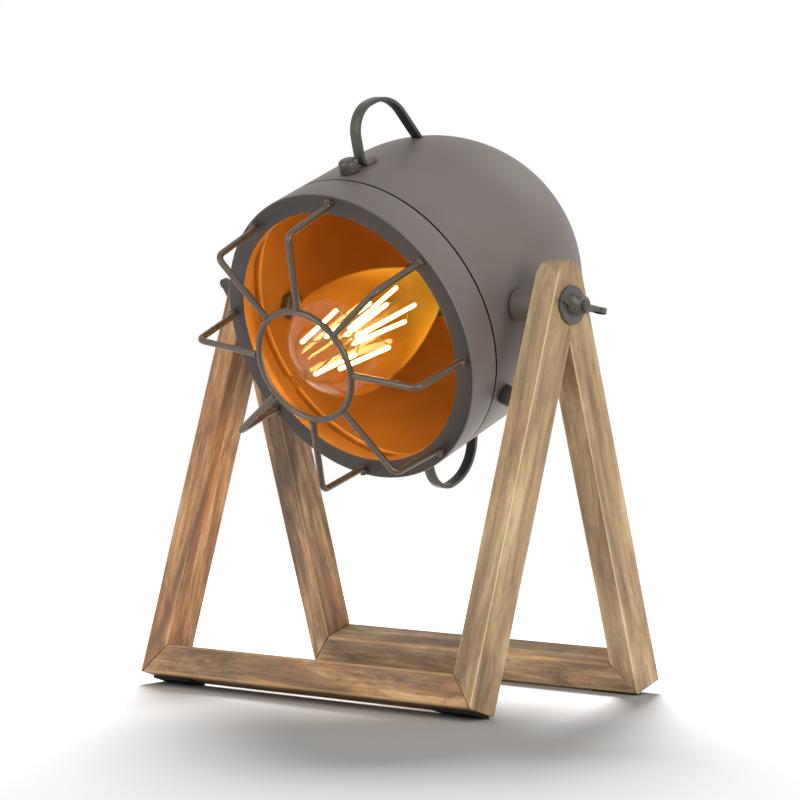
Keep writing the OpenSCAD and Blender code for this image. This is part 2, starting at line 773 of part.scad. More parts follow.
front_left_leg();
front_right_leg();
rear_left_leg();
rear_right_leg();
front_rail();
rear_rail();
foot_pads();
left_washer();
right_washer();
left_wing_nut();
right_wing_nut();
left_pivot_boss();
right_pivot_boss();
left_boss_nut();
right_boss_nut();
left_pivot_stud();
right_pivot_stud();
shade_shell();
top_handle();
bottom_handle();
top_knob();
right_knob();
left_knob();
knob_nuts();
bezel_ring();
ring_tabs();
grille_ring();
grille_wire_1();
grille_wire_2();
grille_wire_3();
grille_wire_4();
grille_wire_5();
grille_wire_6();
grille_wire_7();
grille_wire_8();
holder_body();
holder_cap();
holder_screw_shell();
holder_insert();
holder_contact();
holder_nipple();
nipple_nuts();
cable_gland();
bulb_glass();
bulb_cap();
bulb_contact();
bulb_stem();
bulb_filaments();
bulb_supports();
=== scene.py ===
# %% [markdown]
# # A tilting cage spotlight, dressed for its portrait
# The lamp is a spun metal shade with a wire cage, hung between the tops of a wooden A-shaped
# stand. The solids arrive packed, in metres, each on the body that it moves with. This lesson
# keeps their places and gives them what the eye expects: turned and rolled edges, bent wire,
# worn wood, enamel, glass and light. We start by loading the imported model.

# %% Load the imported lamp
from math import acos, atan2, cos, hypot, pi, radians, sin, sqrt, tan, tau

import bmesh
import bpy
from mathutils import Matrix, Vector


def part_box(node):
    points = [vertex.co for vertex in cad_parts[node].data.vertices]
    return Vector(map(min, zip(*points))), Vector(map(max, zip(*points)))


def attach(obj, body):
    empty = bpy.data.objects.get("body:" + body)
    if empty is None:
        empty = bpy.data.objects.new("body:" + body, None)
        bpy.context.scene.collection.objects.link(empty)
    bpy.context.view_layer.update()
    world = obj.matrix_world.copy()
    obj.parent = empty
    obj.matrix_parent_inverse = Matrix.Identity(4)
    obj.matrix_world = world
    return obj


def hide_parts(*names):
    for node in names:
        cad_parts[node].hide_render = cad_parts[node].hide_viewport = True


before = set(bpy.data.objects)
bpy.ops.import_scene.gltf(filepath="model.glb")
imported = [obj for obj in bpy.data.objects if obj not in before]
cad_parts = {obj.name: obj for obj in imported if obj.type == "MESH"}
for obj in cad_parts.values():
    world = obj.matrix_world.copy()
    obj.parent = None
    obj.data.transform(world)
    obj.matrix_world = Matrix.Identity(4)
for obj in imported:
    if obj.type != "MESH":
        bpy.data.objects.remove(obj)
scene = bpy.context.scene
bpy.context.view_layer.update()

# %% [markdown]
# ## The camera
# A product picture is taken from a little above the table, with a long lens that keeps the
# sides parallel. A matrix built from three directions says exactly where the camera looks,
# and a small roll takes out the tilt of the picture.

# %% Place the camera
MM = 0.001
TILT = radians(23)  # the light points this far below level
PIVOT = Vector((0, -6.2475, 223.2038)) * MM  # middle of the tilt axis
CAMERA_TURN, CAMERA_RISE, CAMERA_ROLL = (radians(a) for a in (40.573, 1.414, 0.218))
CAMERA_AWAY = 1672.934 * MM
CAMERA_AIM = Vector((1.061 * MM, PIVOT.y, 168.309 * MM))
LENS = 129.318  # mm, on a 36 mm sensor

back = Vector((sin(CAMERA_TURN) * cos(CAMERA_RISE),
               -cos(CAMERA_TURN) * cos(CAMERA_RISE), sin(CAMERA_RISE)))
right = Vector((0, 0, 1)).cross(back).normalized()
up = back.cross(right)
right, up = (right * cos(CAMERA_ROLL) + up * sin(CAMERA_ROLL),
             up * cos(CAMERA_ROLL) - right * sin(CAMERA_ROLL))
camera_data = bpy.data.cameras.new("portrait_camera")
camera_data.lens, camera_data.sensor_width = LENS, 36
camera = bpy.data.objects.new("portrait_camera", camera_data)
camera.matrix_world = Matrix.Translation(CAMERA_AIM + back * CAMERA_AWAY) @ Matrix(
    (right, up, back)).transposed().to_4x4()
scene.collection.objects.link(camera)
scene.camera = camera
print("camera at", [round(k, 3) for k in camera.matrix_world.translation])

# %% [markdown]
# ## Helpers for colour and for nodes
# Colours are written in sRGB, as a screen shows them, and one function turns them to the
# linear values that shaders count in. Another adds a node, sets it and links it, so a
# material reads as a short list. The rest are the few nodes that every material here needs.

# %% Colour and node helpers
def srgb(code):
    parts = [int(code[k:k + 2], 16) / 255 for k in (1, 3, 5)]
    return tuple(c / 12.92 if c <= 0.04045 else ((c + 0.055) / 1.055) ** 2.4 for c in parts) + (1,)


def add_node(tree, kind, inputs=None, **settings):
    node = tree.nodes.new(kind)
    for name, value in settings.items():
        setattr(node, name, value)
    for name, value in (inputs or {}).items():
        if isinstance(value, bpy.types.NodeSocket):
            tree.links.new(value, node.inputs[name])
        else:
            node.inputs[name].default_value = value
    return node


def calc(tree, operation, *values, clamp=False):
    return add_node(tree, "ShaderNodeMath", dict(enumerate(values)), operation=operation,
                    use_clamp=clamp).outputs[0]


def noise(tree, vector, scale, detail, rough=0.5, bend=0.0):
    return add_node(tree, "ShaderNodeTexNoise", {
        "Vector": vector, "Scale": scale, "Detail": detail, "Roughness": rough,
        "Distortion": bend}).outputs["Fac"]


def ranged(tree, value, source, target, smooth=False):
    """Takes a value from one range to another, evenly or with soft ends."""
    return add_node(tree, "ShaderNodeMapRange", {
        "Value": value, "From Min": source[0], "From Max": source[1],
        "To Min": target[0], "To Max": target[1]},
        interpolation_type="SMOOTHSTEP" if smooth else "LINEAR").outputs[0]


def tinted(tree, amount, under, over):
    return add_node(tree, "ShaderNodeMix", {0: amount, 6: under, 7: over},
                    data_type="RGBA").outputs[2]


def new_material(name):
    """An empty node material and its tree."""
    material = bpy.data.materials.new(name)
    material.use_nodes = True
    material.node_tree.nodes.clear()
    return material, material.node_tree


def object_place(tree):
    """Where a point lies on its piece, so that a noise moves with the piece."""
    return add_node(tree, "ShaderNodeTexCoord").outputs["Object"]


def shaded(tree, kind, inputs):
    """Adds a material's last shader and sends it to the output."""
    shader = add_node(tree, kind, inputs)
    add_node(tree, "ShaderNodeOutputMaterial", {"Surface": shader.outputs[0]})
    return shader


print("linear mid grey:", [round(c, 3) for c in srgb("#808080")])

# %% [markdown]
# ## Wood
# The stand is a soft wood such as pine, stained grey-brown and wire brushed. The eye sees
# three things in it: broad bands of warm and grey stain, fine dark streaks that run for
# centimetres, and short pores. All are noise, stretched along the grain by a Mapping node
# that is turned to the piece's own length. The arrises are paler, a second wood: partly
# rubbed wear and partly a painted highlight.

# %% Brushed pine
def stretched_noise(tree, vector, across, length, detail=3, rough=0.6, bend=0.0):
    """Noise along the grain, 1 / across metres wide and 1 / length metres long."""
    place = add_node(tree, "ShaderNodeMapping", {
        "Vector": vector, "Scale": (across, across, length)})
    return noise(tree, place.outputs[0], 1, detail, rough, bend)


def step(tree, value, low, high, strength=1.0):
    """Goes from strength to 0 where the value rises from low to high."""
    return ranged(tree, value, (low, high), (strength, 0.0), smooth=True)


def brushed_pine(name, stains, streak_dark, along, seed, reddened, rough, marked):
    """Wood whose grain runs along a direction; along is the Mapping node's turn in degrees."""
    material, tree = new_material(name)
    turned = add_node(tree, "ShaderNodeMapping", {
        "Vector": object_place(tree), "Rotation": [radians(a) for a in along],
        "Location": (seed * 0.37, seed * 0.11, seed * 0.53)}).outputs[0]
    # bands of stain 18 mm wide and 110 mm long, reddish and sooty clouds, growth rings 3 mm
    # apart, streaks of 1.1 mm, pores of 0.5 mm, and splits 5 mm apart and 380 mm long
    band = stretched_noise(tree, turned, 55, 9, 9, 0.70, 0.5)
    cloud = stretched_noise(tree, turned, 34, 10, 7, 0.66, 0.3)
    soot = stretched_noise(tree, turned, 90, 26, 9, 0.74, 0.4)
    ring = stretched_noise(tree, turned, 330, 9, 4, 0.6)
    streak = stretched_noise(tree, turned, 900, 22, 3, 0.65)
    pore = stretched_noise(tree, turned, 2000, 160, 2, 0.5)
    split = stretched_noise(tree, turned, 210, 2.6, 2, 0.4)
    stain = add_node(tree, "ShaderNodeValToRGB", {"Fac": band})
    ramp = stain.color_ramp.elements
    while len(ramp) < len(stains):
        ramp.new(0.5)
    for stop, (where, colour) in zip(ramp, stains):
        stop.position, stop.color = where, srgb(colour)
    colour = stain.outputs["Color"]
    for value, low, high, strength, over in (
            (cloud, 0.38, 0.56, reddened, "#b07345"), (soot, 0.36, 0.50, 0.55, "#57473a"),
            (ring, 0.38, 0.56, 0.26, streak_dark)):
        amount = step(tree, value, low, high, strength * marked)
        colour = tinted(tree, amount, colour, srgb(over))
    # a check is a hair crack that the drying wood opens, where one noise passes its middle
    near = calc(tree, "ABSOLUTE", calc(tree, "SUBTRACT", split, 0.5))
    cracks = calc(tree, "MULTIPLY", step(tree, near, 0.004, 0.012, 0.7 * marked),
                  step(tree, soot, 0.42, 0.5))
    marks = calc(tree, "MULTIPLY_ADD", step(tree, streak, 0.34, 0.58), 0.34 * marked,
                 step(tree, pore, 0.28, 0.42, 0.22), clamp=True)
    marks = calc(tree, "MAXIMUM", marks, cracks)
    bump = add_node(tree, "ShaderNodeBump", {
        "Strength": 0.55, "Distance": 0.25 * MM, "Height": calc(tree, "SUBTRACT", 1.0, marks)})
    shaded(tree, "ShaderNodeBsdfPrincipled", {
        "Base Color": tinted(tree, marks, colour, srgb(streak_dark)),
        "Roughness": ranged(tree, marks, (0, 1), (rough, rough + 0.2)),
        "Normal": bump.outputs[0], "IOR": 1.5, "Specular IOR Level": 0.35})
    return material


print("brushed_pine is ready")

# %% [markdown]
# No two planks take the stain alike. The right legs came out fair, the front left leg honey
# coloured, partly its stain and partly painted warm light from the bulb, the rear left leg
# and the front rail dark, and the rear rail in between. A stain is a short list of colours,
# each with the height of the band noise at which it is reached.

# %% Stain the planks
LEAN = 18  # degrees that the legs lean
GRAIN_TURNS = {"front": (LEAN, 0, 0), "rear": (-LEAN, 0, 0), "rail": (0, 90, 0)}
DARK_STAINS = ((0.38, "#695240"), (0.47, "#8c6f52"), (0.54, "#af8860"), (0.63, "#dcb483"))
FAIR_STAINS = ((0.36, "#846c53"), (0.45, "#a18665"), (0.54, "#ba9d75"), (0.64, "#d4bc94"))
DIM_STAINS = ((0.38, "#5c4736"), (0.47, "#7c6148"), (0.54, "#9c7853"), (0.63, "#cba577"))
# the front left leg: a honey stain, lighter and warmer as painted light from the bulb
HONEY_AND_PAINTED_BULB_LIGHT = ((0.36, "#7a5c45"), (0.45, "#a37a57"), (0.53, "#c8996a"), (0.62, "#e8c394"))
MILD_STAINS = ((0.37, "#755f49"), (0.46, "#957a5c"), (0.54, "#b2936d"), (0.63, "#cfb38c"))
# the arrises' paler colours: partly wear, partly a painted highlight
DARK_ARRIS = ((0.38, "#8a6b4f"), (0.60, "#cba472"))
FAIR_ARRIS = ((0.34, "#c6aa80"), (0.56, "#e4cfa3"))
PLANKS = (("front_left_leg", "front", HONEY_AND_PAINTED_BULB_LIGHT, DARK_ARRIS),
          ("rear_left_leg", "rear", DIM_STAINS, DARK_ARRIS),
          ("front_right_leg", "front", FAIR_STAINS, FAIR_ARRIS),
          ("rear_right_leg", "rear", FAIR_STAINS, FAIR_ARRIS),
          ("front_rail", "rail", DARK_STAINS, DARK_ARRIS),
          ("rear_rail", "rail", MILD_STAINS, DARK_ARRIS))
woods = {}
for number, (part, grain, faces, arrises) in enumerate(PLANKS, 1):
    reddened, marked = (0.22, 0.5) if faces is FAIR_STAINS else (0.42, 1.0)
    turns = GRAIN_TURNS[grain]
    woods[part] = (brushed_pine(f"brushed_pine_{part}", faces, "#66523f", turns, number,
                                reddened, 0.62, marked),
                   brushed_pine(f"rubbed_and_highlit_pine_{part}", arrises, "#a88a66", turns, number,
                                reddened, 0.5, 0.3))
print("woods:", [m.name for pair in woods.values() for m in pair])

# %% [markdown]
# ## Enamel and blackened steel
# The shade has a matt baked enamel, grey-brown outside and a warm copper lustre inside, with
# a fine orange peel and slow changes of tone. The cage, handles and screws are blackened
# steel, paler where hands rub it. One function makes both kinds, because they differ only in
# colour, shine and the size of their grain.

# %% Coated metals
def coated_metal(name, base, tone, rough, metal=0.0, peel_mm=0.5, peel=0.06, level=0.5,
                 worn=None):
    """Enamel or blackened metal; tone is the colour that it drifts to, over some 40 mm."""
    material, tree = new_material(name)
    place = object_place(tree)
    drift = noise(tree, place, 25, 3, 0.55)
    colour = tinted(tree, ranged(tree, drift, (0.35, 0.65), (0, 1)), srgb(base), srgb(tone))
    if worn:
        scuffs = ranged(tree, noise(tree, place, 420, 5, 0.7), (0.56, 0.72), (0, 0.6))
        colour = tinted(tree, scuffs, colour, srgb(worn))
    bump = add_node(tree, "ShaderNodeBump", {
        "Strength": peel, "Distance": 0.1 * MM,
        "Height": noise(tree, place, 1 / (peel_mm * MM), 1)})
    shaded(tree, "ShaderNodeBsdfPrincipled", {
        "Base Color": colour, "Metallic": metal, "Specular IOR Level": level,
        "Roughness": ranged(tree, drift, (0, 1), (rough - 0.06, rough + 0.06)),
        "Normal": bump.outputs[0]})
    return material


# smooth and matt, so the shade reads as one soft gradient; the face is darker, a painted shade
outer_enamel = coated_metal("matt_grey_brown_enamel", "#6a605b", "#6f6560", 0.52, 0.0, 0.7, 0.10)
face_painted_shade_enamel = coated_metal("matt_enamel_face_painted_shade", "#302925", "#38302c", 0.55, 0.0, 0.7, 0.10)
# half metal, so the inside glows in the bulb's light; its edge gets a painted highlight
copper_enamel = coated_metal("copper_lustre_enamel", "#b9803a", "#ad7632", 0.36, 0.4, 0.6, 0.08)
painted_highlight_copper = coated_metal("painted_highlight_copper_edge", "#f0bd68", "#e6ac55", 0.34, 0.4, 0.6, 0.08)
# nearly black, a painted shade in the seam, so that it reads as a gap
seam_painted_shade_black = coated_metal("seam_painted_shade_steel", "#0d0c0b", "#12100e", 0.9, 0.0, 0.5, 0.1, 0.1)
# dark satin with small scuffs: handles and knobs, then the tumbled iron, then the
# loops' insides, darker as a painted shade
blackened_steel = coated_metal("blackened_steel", "#46423d", "#4d4944", 0.4, 0.3, 0.4, 0.12,
                               0.5, "#716b63")
tumbled_steel = coated_metal("tumbled_blackened_steel", "#57524c", "#5f5953", 0.46, 0.3, 0.4,
                             0.12, 0.5, "#716b63")
loop_inside_painted_shade_steel = coated_metal("blackened_steel_loop_painted_shade", "#292725", "#32302d", 0.5, 0.2, 0.4, 0.12,
                            0.3)
# smoother, so that the wires catch a thin bright line and the copper's light
dark_wire = coated_metal("dark_drawn_wire", "#574b40", "#605345", 0.32, 0.5, 0.3, 0.08, 0.6,
                         "#75664f")
# the plain finishes of the lampholder, and the dull felt under the rails
turned_brass = coated_metal("turned_brass", "#b5924f", "#a58345", 0.3, 1.0, 0.3, 0.08)
bakelite = coated_metal("black_phenolic", "#262321", "#2d2a27", 0.4, 0.0, 0.4, 0.08)
steatite = coated_metal("glazed_steatite", "#dcd6ca", "#d2cbbe", 0.22, 0.0, 1.0, 0.05)
felt = coated_metal("dark_felt", "#242120", "#2c2927", 0.95, 0.0, 0.35, 0.6, 0.2)
print("materials so far:", len(bpy.data.materials))

# %% [markdown]
# ## Glass and light
# The bulb is thin blown glass with an amber tint. It is almost clear face on and mirrors at
# its rim, so its alpha grows toward grazing angles. Light passes a see-through surface
# without noise, which a bending glass this close to its lamp would bring. The wall also
# carries a painted glow, strongest nearest the sticks. The sticks are strings of tiny lamps
# under a yellow coat: a white-hot glow with a warmer edge.

# %% Glass and glow
SHADE = Matrix.Translation(PIVOT) @ Matrix.Rotation(pi / 2 + TILT, 4, "X")
GLOW = 52.0  # strength of the sticks' light
GLOW_MIDDLE = SHADE @ Vector((0, 0, 2 * MM))
# the glass's painted glow: full at the first distance, a tenth at the second
PAINTED_GLOW_REACH = (24 * MM, 52 * MM)  # it falls to a tenth from the first distance to the second


def thin_glass(name, tint, clear, rim, rough=0.03, lit=None):
    """Glass clear face on and denser at its rim; lit is the colour and strength of a painted glow.
    """
    material, tree = new_material(name)
    facing = add_node(tree, "ShaderNodeLayerWeight", {"Blend": 0.32}).outputs["Facing"]
    glass = shaded(tree, "ShaderNodeBsdfPrincipled", {
        "Base Color": srgb(tint), "Alpha": ranged(tree, facing, (0, 1), (clear, rim)),
        "Roughness": rough, "IOR": 1.5, "Specular IOR Level": 1.0})
    if lit:
        # a painted glow on the glass, strongest near the sticks
        away = add_node(tree, "ShaderNodeVectorMath", {
            0: object_place(tree), 1: GLOW_MIDDLE}, operation="DISTANCE").outputs["Value"]
        painted_glow = ranged(tree, away, PAINTED_GLOW_REACH, (lit[1], lit[1] * 0.1), smooth=True)
        glass.inputs["Emission Color"].default_value = srgb(lit[0])
        tree.links.new(painted_glow, glass.inputs["Emission Strength"])
    return material


# the amber glass carries a painted glow
amber_glass = thin_glass("amber_blown_glass", "#6e3f12", 0.2, 0.62, 0.04, ("#f0a428", 0.68))
clear_glass = thin_glass("pinched_clear_glass", "#8a7a60", 0.12, 0.5)
glow, glow_tree = new_material("glowing_coat")
edge = add_node(glow_tree, "ShaderNodeLayerWeight", {"Blend": 0.4}).outputs["Facing"]
shaded(glow_tree, "ShaderNodeBsdfPrincipled", {
    "Base Color": srgb("#ffd98a"), "Roughness": 0.6, "Emission Strength": GLOW,
    "Emission Color": tinted(glow_tree, edge, srgb("#ffd98c"), srgb("#ffb84a"))})
print("glass and glow made")

# %% [markdown]
# ## Copies of the solids, with soft edges
# Real edges are never knife sharp: a saw cut is sanded, a nut is tumbled. Where a solid's
# shape is already right, a copy of it is welded, its flat faces are cleaned, and a narrow
# bevel is cut along every edge. The bevel can carry its own material, which is how the paler
# arrises of the wood are made, partly wear and partly a painted highlight.

# %% Softened copies
WELD = 0.002 * MM  # points closer than this become one
SMOOTH = 38  # degrees; a sharper edge stays an edge


def finish_piece(piece, body, slot, *replaced):
    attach(piece, body)
    if replaced:
        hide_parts(*replaced)
    return piece


def piece_from(name, mesh, materials=()):
    piece = bpy.data.objects.new(name, mesh)
    mesh.materials.clear()
    for material in materials:
        mesh.materials.append(material)
    scene.collection.objects.link(piece)
    return piece


def mesh_from(work, name):
    """Turns a bmesh into a new mesh, and frees it."""
    mesh = bpy.data.meshes.new(name)
    work.to_mesh(mesh)
    work.free()
    return mesh


def plain_mesh(piece):
    """The evaluated mesh of a piece with modifiers, which are then removed."""
    bpy.context.view_layer.update()
    evaluated = piece.evaluated_get(bpy.context.evaluated_depsgraph_get())
    shape = bpy.data.meshes.new_from_object(evaluated)
    piece.modifiers.clear()
    piece.data = shape
    return piece


def softened(node, name, materials, width_mm, segments=2, flat=True):
    """A welded, bevelled copy of a CAD node; the second material goes on the bevels."""
    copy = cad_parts[node].data.copy()
    work = bmesh.new()
    work.from_mesh(copy)
    bmesh.ops.remove_doubles(work, verts=work.verts, dist=WELD)
    if flat:
        bmesh.ops.dissolve_limit(work, angle_limit=radians(1), verts=work.verts,
                                 edges=work.edges)
    for face in work.faces:
        face.smooth = True
        face.material_index = 0
    work.to_mesh(copy)
    work.free()
    piece = piece_from(name, copy, materials)
    if width_mm:
        bevel = piece.modifiers.new("arris", "BEVEL")
        bevel.width, bevel.segments = width_mm * MM, segments
        bevel.limit_method, bevel.angle_limit = "ANGLE", radians(30)
        bevel.material = 1 if len(materials) > 1 else -1
    plain_mesh(piece)
    piece.data.set_sharp_from_angle(angle=radians(SMOOTH))
    return piece


print("solids to copy:", len(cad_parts))

# %% [markdown]
# The planks come first. Only the arrises along the grain are pale, partly rubbed by hands and
# sandpaper and partly a painted highlight. The edges of the joints cross the grain, so they
# keep the plank's own stain.

# %% Sand the stand
def keep_ends_dark(piece, along):
    """Takes the pale wood off the bevels that cross the grain."""
    for face in piece.data.polygons:
        if face.material_index == 1 and abs(face.normal.dot(along)) > 0.05:
            face.material_index = 0
    return piece


for node, grain, *_ in PLANKS:
    along = Matrix.Rotation(-radians(GRAIN_TURNS[grain][0]), 3, "X") @ Vector((0, 0, 1))
    if grain == "rail":
        along = Vector((1, 0, 0))
    plank = keep_ends_dark(softened(node, f"{node}_sanded", woods[node], 1.5, 3), along)
    finish_piece(plank, "stand", "rail_wood" if grain == "rail" else "leg_wood", node)
pads = softened("foot_pads", "foot_pads_cut", (felt,), 0.2, 1)
finish_piece(pads, "stand", "pad_rubber", "foot_pads")
print("planks:", len(PLANKS))

# %% [markdown]
# ## Small iron parts
# Washers, nuts and wing nuts are turned, cut or cast, then blackened. Their solids are
# right, so they only need their edges broken. So do the two round bosses between the shade
# and the stand, but these are enamelled with the shade.

# %% Nuts, washers and bosses
IRON = {  # the body of each, and its edges in mm
    "left_washer": ("stand", 0.35), "right_washer": ("stand", 0.35),
    "left_wing_nut": ("wing_nut_left", 0.6), "right_wing_nut": ("wing_nut_right", 0.6),
    "left_boss_nut": ("shade", 0.4), "right_boss_nut": ("shade", 0.4),
    "knob_nuts": ("shade", 0.3), "nipple_nuts": ("shade", 0.3),
}
for node, (body, width) in IRON.items():
    nut = softened(node, f"{node}_blackened", (tumbled_steel,), width, 2, False)
    finish_piece(nut, body, "hardware_iron", node)
for side in ("left", "right"):
    node = f"{side}_pivot_boss"
    boss = softened(node, f"{side}_boss_enamelled", (outer_enamel,), 0.5, 2, False)
    finish_piece(boss, "shade", "shade_paint", node)
print("iron parts:", len(IRON))

# %% [markdown]
# ## Trees that make geometry
# What is turned, swept or repeated is made by Geometry Nodes. Each tree takes a mesh, a few
# named numbers and a material, and each ends in the same way: the copies are made real and
# get their material. The result is then kept as a plain mesh.

# %% Begin, end and run a tree
def node_group(name, source, numbers=()):
    """A new tree and its inputs: the source mesh, the numbers and the material."""
    tree = bpy.data.node_groups.new(name, "GeometryNodeTree")
    face = tree.interface
    face.new_socket(source, in_out="INPUT", socket_type="NodeSocketGeometry")
    for label, kind, value in numbers:
        socket = face.new_socket(label, in_out="INPUT", socket_type=f"NodeSocket{kind}")
        socket.default_value = value
    face.new_socket("Material", in_out="INPUT", socket_type="NodeSocketMaterial")
    face.new_socket("Piece", in_out="OUTPUT", socket_type="NodeSocketGeometry")
    return tree, add_node(tree, "NodeGroupInput").outputs


def end_group(tree, geometry, material):
    real = add_node(tree, "GeometryNodeRealizeInstances", {"Geometry": geometry})
    painted = add_node(tree, "GeometryNodeSetMaterial", {
        "Geometry": real.outputs[0], "Material": material})
    add_node(tree, "NodeGroupOutput", {"Piece": painted.outputs[0]})
    return tree


def run_tree(piece, tree, values):
    """Runs a tree on a piece. The modifier knows its inputs by their sockets' identifiers."""
    modifier = piece.modifiers.new(tree.name, "NODES")
    modifier.node_group = tree
    for item in tree.interface.items_tree:
        if item.item_type == "SOCKET" and item.in_out == "INPUT" and item.name in values:
            modifier[item.identifier] = values[item.name]
    return plain_mesh(piece)


def tidy_shell(mesh, smooth=SMOOTH):
    """Turns a closed shell's faces outward and shades it smooth between its sharp edges."""
    work = bmesh.new()
    work.from_mesh(mesh)
    bmesh.ops.remove_doubles(work, verts=work.verts, dist=WELD)
    bmesh.ops.dissolve_degenerate(work, dist=WELD / 2, edges=work.edges)
    bmesh.ops.recalc_face_normals(work, faces=work.faces)
    for face in work.faces:
        face.smooth = True
    work.to_mesh(mesh)
    work.free()
    mesh.set_sharp_from_angle(angle=radians(smooth))


print("trees so far:", len(bpy.data.node_groups))

# %% [markdown]
# ## Turned pieces
# The shade, its ring, the knobs, the bulb and its holder follow one rule: a section swept
# round an axis. The piece's own mesh is the section, points at (radius, 0, height). The tree
# makes a grid, one column for each point and one row for each step round the axis, and sets
# its points by the rule. A screw thread is a wave of the radius, one for each pitch, whose
# start turns with the angle and which runs out over a millimetre at either end.

# %% The lathe
def turned_tree():
    tree, given = node_group("turn_round_an_axis", "Section", (
        ("Section points", "Int", 2), ("Steps round", "Int", 96),
        ("Thread depth", "Float", 0.0), ("Thread pitch", "Float", 0.0036),
        ("Thread from", "Float", 0.0), ("Thread to", "Float", 0.0), ("Run out", "Float", 0.0012)))

    def do(*values, **clamp):
        return calc(tree, *values, **clamp)

    rows = do("ADD", given["Steps round"], 1.0)
    grid = add_node(tree, "GeometryNodeMeshGrid", {
        "Vertices X": given["Section points"], "Vertices Y": rows})
    index = add_node(tree, "GeometryNodeInputIndex").outputs[0]
    column = do("FLOOR", do("DIVIDE", do("ADD", index, 0.5), rows))
    angle = do("MULTIPLY", do("DIVIDE", do("SUBTRACT", index, do("MULTIPLY", column, rows)),
                              given["Steps round"]), tau)
    point = add_node(tree, "GeometryNodeSampleIndex", {
        "Geometry": given["Section"], "Index": column,
        "Value": add_node(tree, "GeometryNodeInputPosition").outputs[0]}, data_type="FLOAT_VECTOR")
    split = add_node(tree, "ShaderNodeSeparateXYZ", {0: point.outputs[0]})
    radius, height = split.outputs[0], split.outputs[2]
    starts = do("MULTIPLY", do("DIVIDE", height, given["Thread pitch"]), tau)
    wave = do("COSINE", do("SUBTRACT", starts, angle))
    fade = do("MAXIMUM", 0.0, do(
        "MINIMUM",
        do("DIVIDE", do("SUBTRACT", height, given["Thread from"]), given["Run out"], clamp=True),
        do("DIVIDE", do("SUBTRACT", given["Thread to"], height), given["Run out"], clamp=True)))
    threaded = do("ADD", radius, do("MULTIPLY", do("MULTIPLY", wave, fade), given["Thread depth"]))
    spot = add_node(tree, "ShaderNodeCombineXYZ", {
        0: do("MULTIPLY", threaded, do("SINE", angle)),
        1: do("MULTIPLY", threaded, do("COSINE", angle)), 2: height})
    placed = add_node(tree, "GeometryNodeSetPosition", {
        "Geometry": grid.outputs["Mesh"], "Position": spot.outputs[0]})
    closed = add_node(tree, "GeometryNodeMergeByDistance", {
        "Geometry": placed.outputs[0], "Distance": 2 * WELD})
    return end_group(tree, closed.outputs[0], given["Material"])


LATHE = turned_tree()


def turned(name, section_mm, material, place=SHADE, steps=96, closed=True, thread=None):
    """Turns section points (radius, height) in mm; thread is its depth, pitch, from and to."""
    points = list(section_mm) + ([section_mm[0]] if closed else [])
    section = bpy.data.meshes.new(name)
    section.from_pydata([(r * MM, 0, s * MM) for r, s in points], [], [])
    values = {"Section points": len(points), "Steps round": steps, "Material": material}
    if thread:
        values.update(zip(("Thread depth", "Thread pitch", "Thread from", "Thread to"),
                          (k * MM for k in thread)))
    piece = run_tree(piece_from(name, section), LATHE, values)
    tidy_shell(piece.data)
    piece.data.transform(place)
    return piece


def arc(centre, radius, start, end, steps=6):
    """Points of an arc, from one angle to another in degrees."""
    return [(centre[0] + radius * cos(radians(start + (end - start) * k / steps)),
             centre[1] + radius * sin(radians(start + (end - start) * k / steps)))
            for k in range(steps + 1)]


print("lathe nodes:", len(LATHE.nodes))

# %% [markdown]
# ## The shade
# A disc of steel is spun over a former, so the shade is one thin shell: a flat at the back, a
# domed end, a straight barrel and, at its front edge, a flange turned inward. The section is
# drawn once round, outside and back inside, and the lathe turns it. Places along the shade
# are measured forward from the tilt axis.

# %% Spin the shade
SHADE_R, WALL, LIP_S, FLANGE = 88.0, 1.2, 25.9, 3.4
DOME_S, DOME_L, POLE_R = -30.3, 93.0, 12.0
inner_r = SHADE_R - WALL


def dome(inset, steps=72):
    end = acos(POLE_R / SHADE_R)
    return [((SHADE_R - inset) * cos(end * k / steps),
             DOME_S - (DOME_L - inset) * sin(end * k / steps)) for k in range(steps + 1)]


POLE_S = dome(0)[-1][1]
shade_section = (
    [(inner_r - FLANGE, LIP_S), (inner_r + 0.3, LIP_S)]
    + arc((SHADE_R - 0.4, LIP_S - 0.4), 0.4, 90, 0, 4) + [(SHADE_R, 10), (SHADE_R, -10)]
    + dome(0) + [(6, POLE_S), (0, POLE_S), (0, POLE_S + WALL), (6, POLE_S + WALL)]
    + dome(WALL)[::-1] + [(inner_r, -10), (inner_r, 10)]
    + [(inner_r, LIP_S - WALL), (inner_r - FLANGE, LIP_S - WALL)])
shade = turned("spun_shade", shade_section, outer_enamel, Matrix.Identity(4), 144)
print("shade spun:", len(shade.data.polygons), "faces")

# %% [markdown]
# The openings are cut next: slots for the handles' rear feet, holes for the knobs' screws and
# the pivots, notches for the front ring's tabs and a hole for the cable's tube. Boxes and rods
# stand where they go, and one boolean takes them all away.

# %% Cut the openings
KNOB_TURNS, KNOB_S, SCREW_R, RUN, AIR = (2.8, 122.8, 242.8), 14.8, 2.0, 0.08, 0.3
STRAP_W, STRAP_T, STRAP_R, STRAP_BACK, STRAP_REAR, STRAP_TAB = 6.6, 2.5, 120.3, 30.0, 49.0, 9.0
STRAP_TURNS = (3.5, 183.5)
TAB_IN = WALL + AIR + STRAP_T / 2 + 0.15  # the rear foot lies under the wall
NOTCH, BOSS_NECK_R, TUBE_HOLE_R = (10.6, 4, 3), 4.5, 5.08


def dome_r_at(s):
    return SHADE_R * sqrt(1 - max(0.0, (DOME_S - s) / DOME_L) ** 2)


def cutter_box(work, size, place):
    scale = Matrix.Diagonal((*(k * MM for k in size), 1))
    bmesh.ops.create_cube(work, size=1, matrix=place @ scale)


def cutter_rod(work, radius, length, place):
    bmesh.ops.create_cone(work, cap_ends=True, segments=32, radius1=radius * MM,
                          radius2=radius * MM, depth=length * MM, matrix=place)


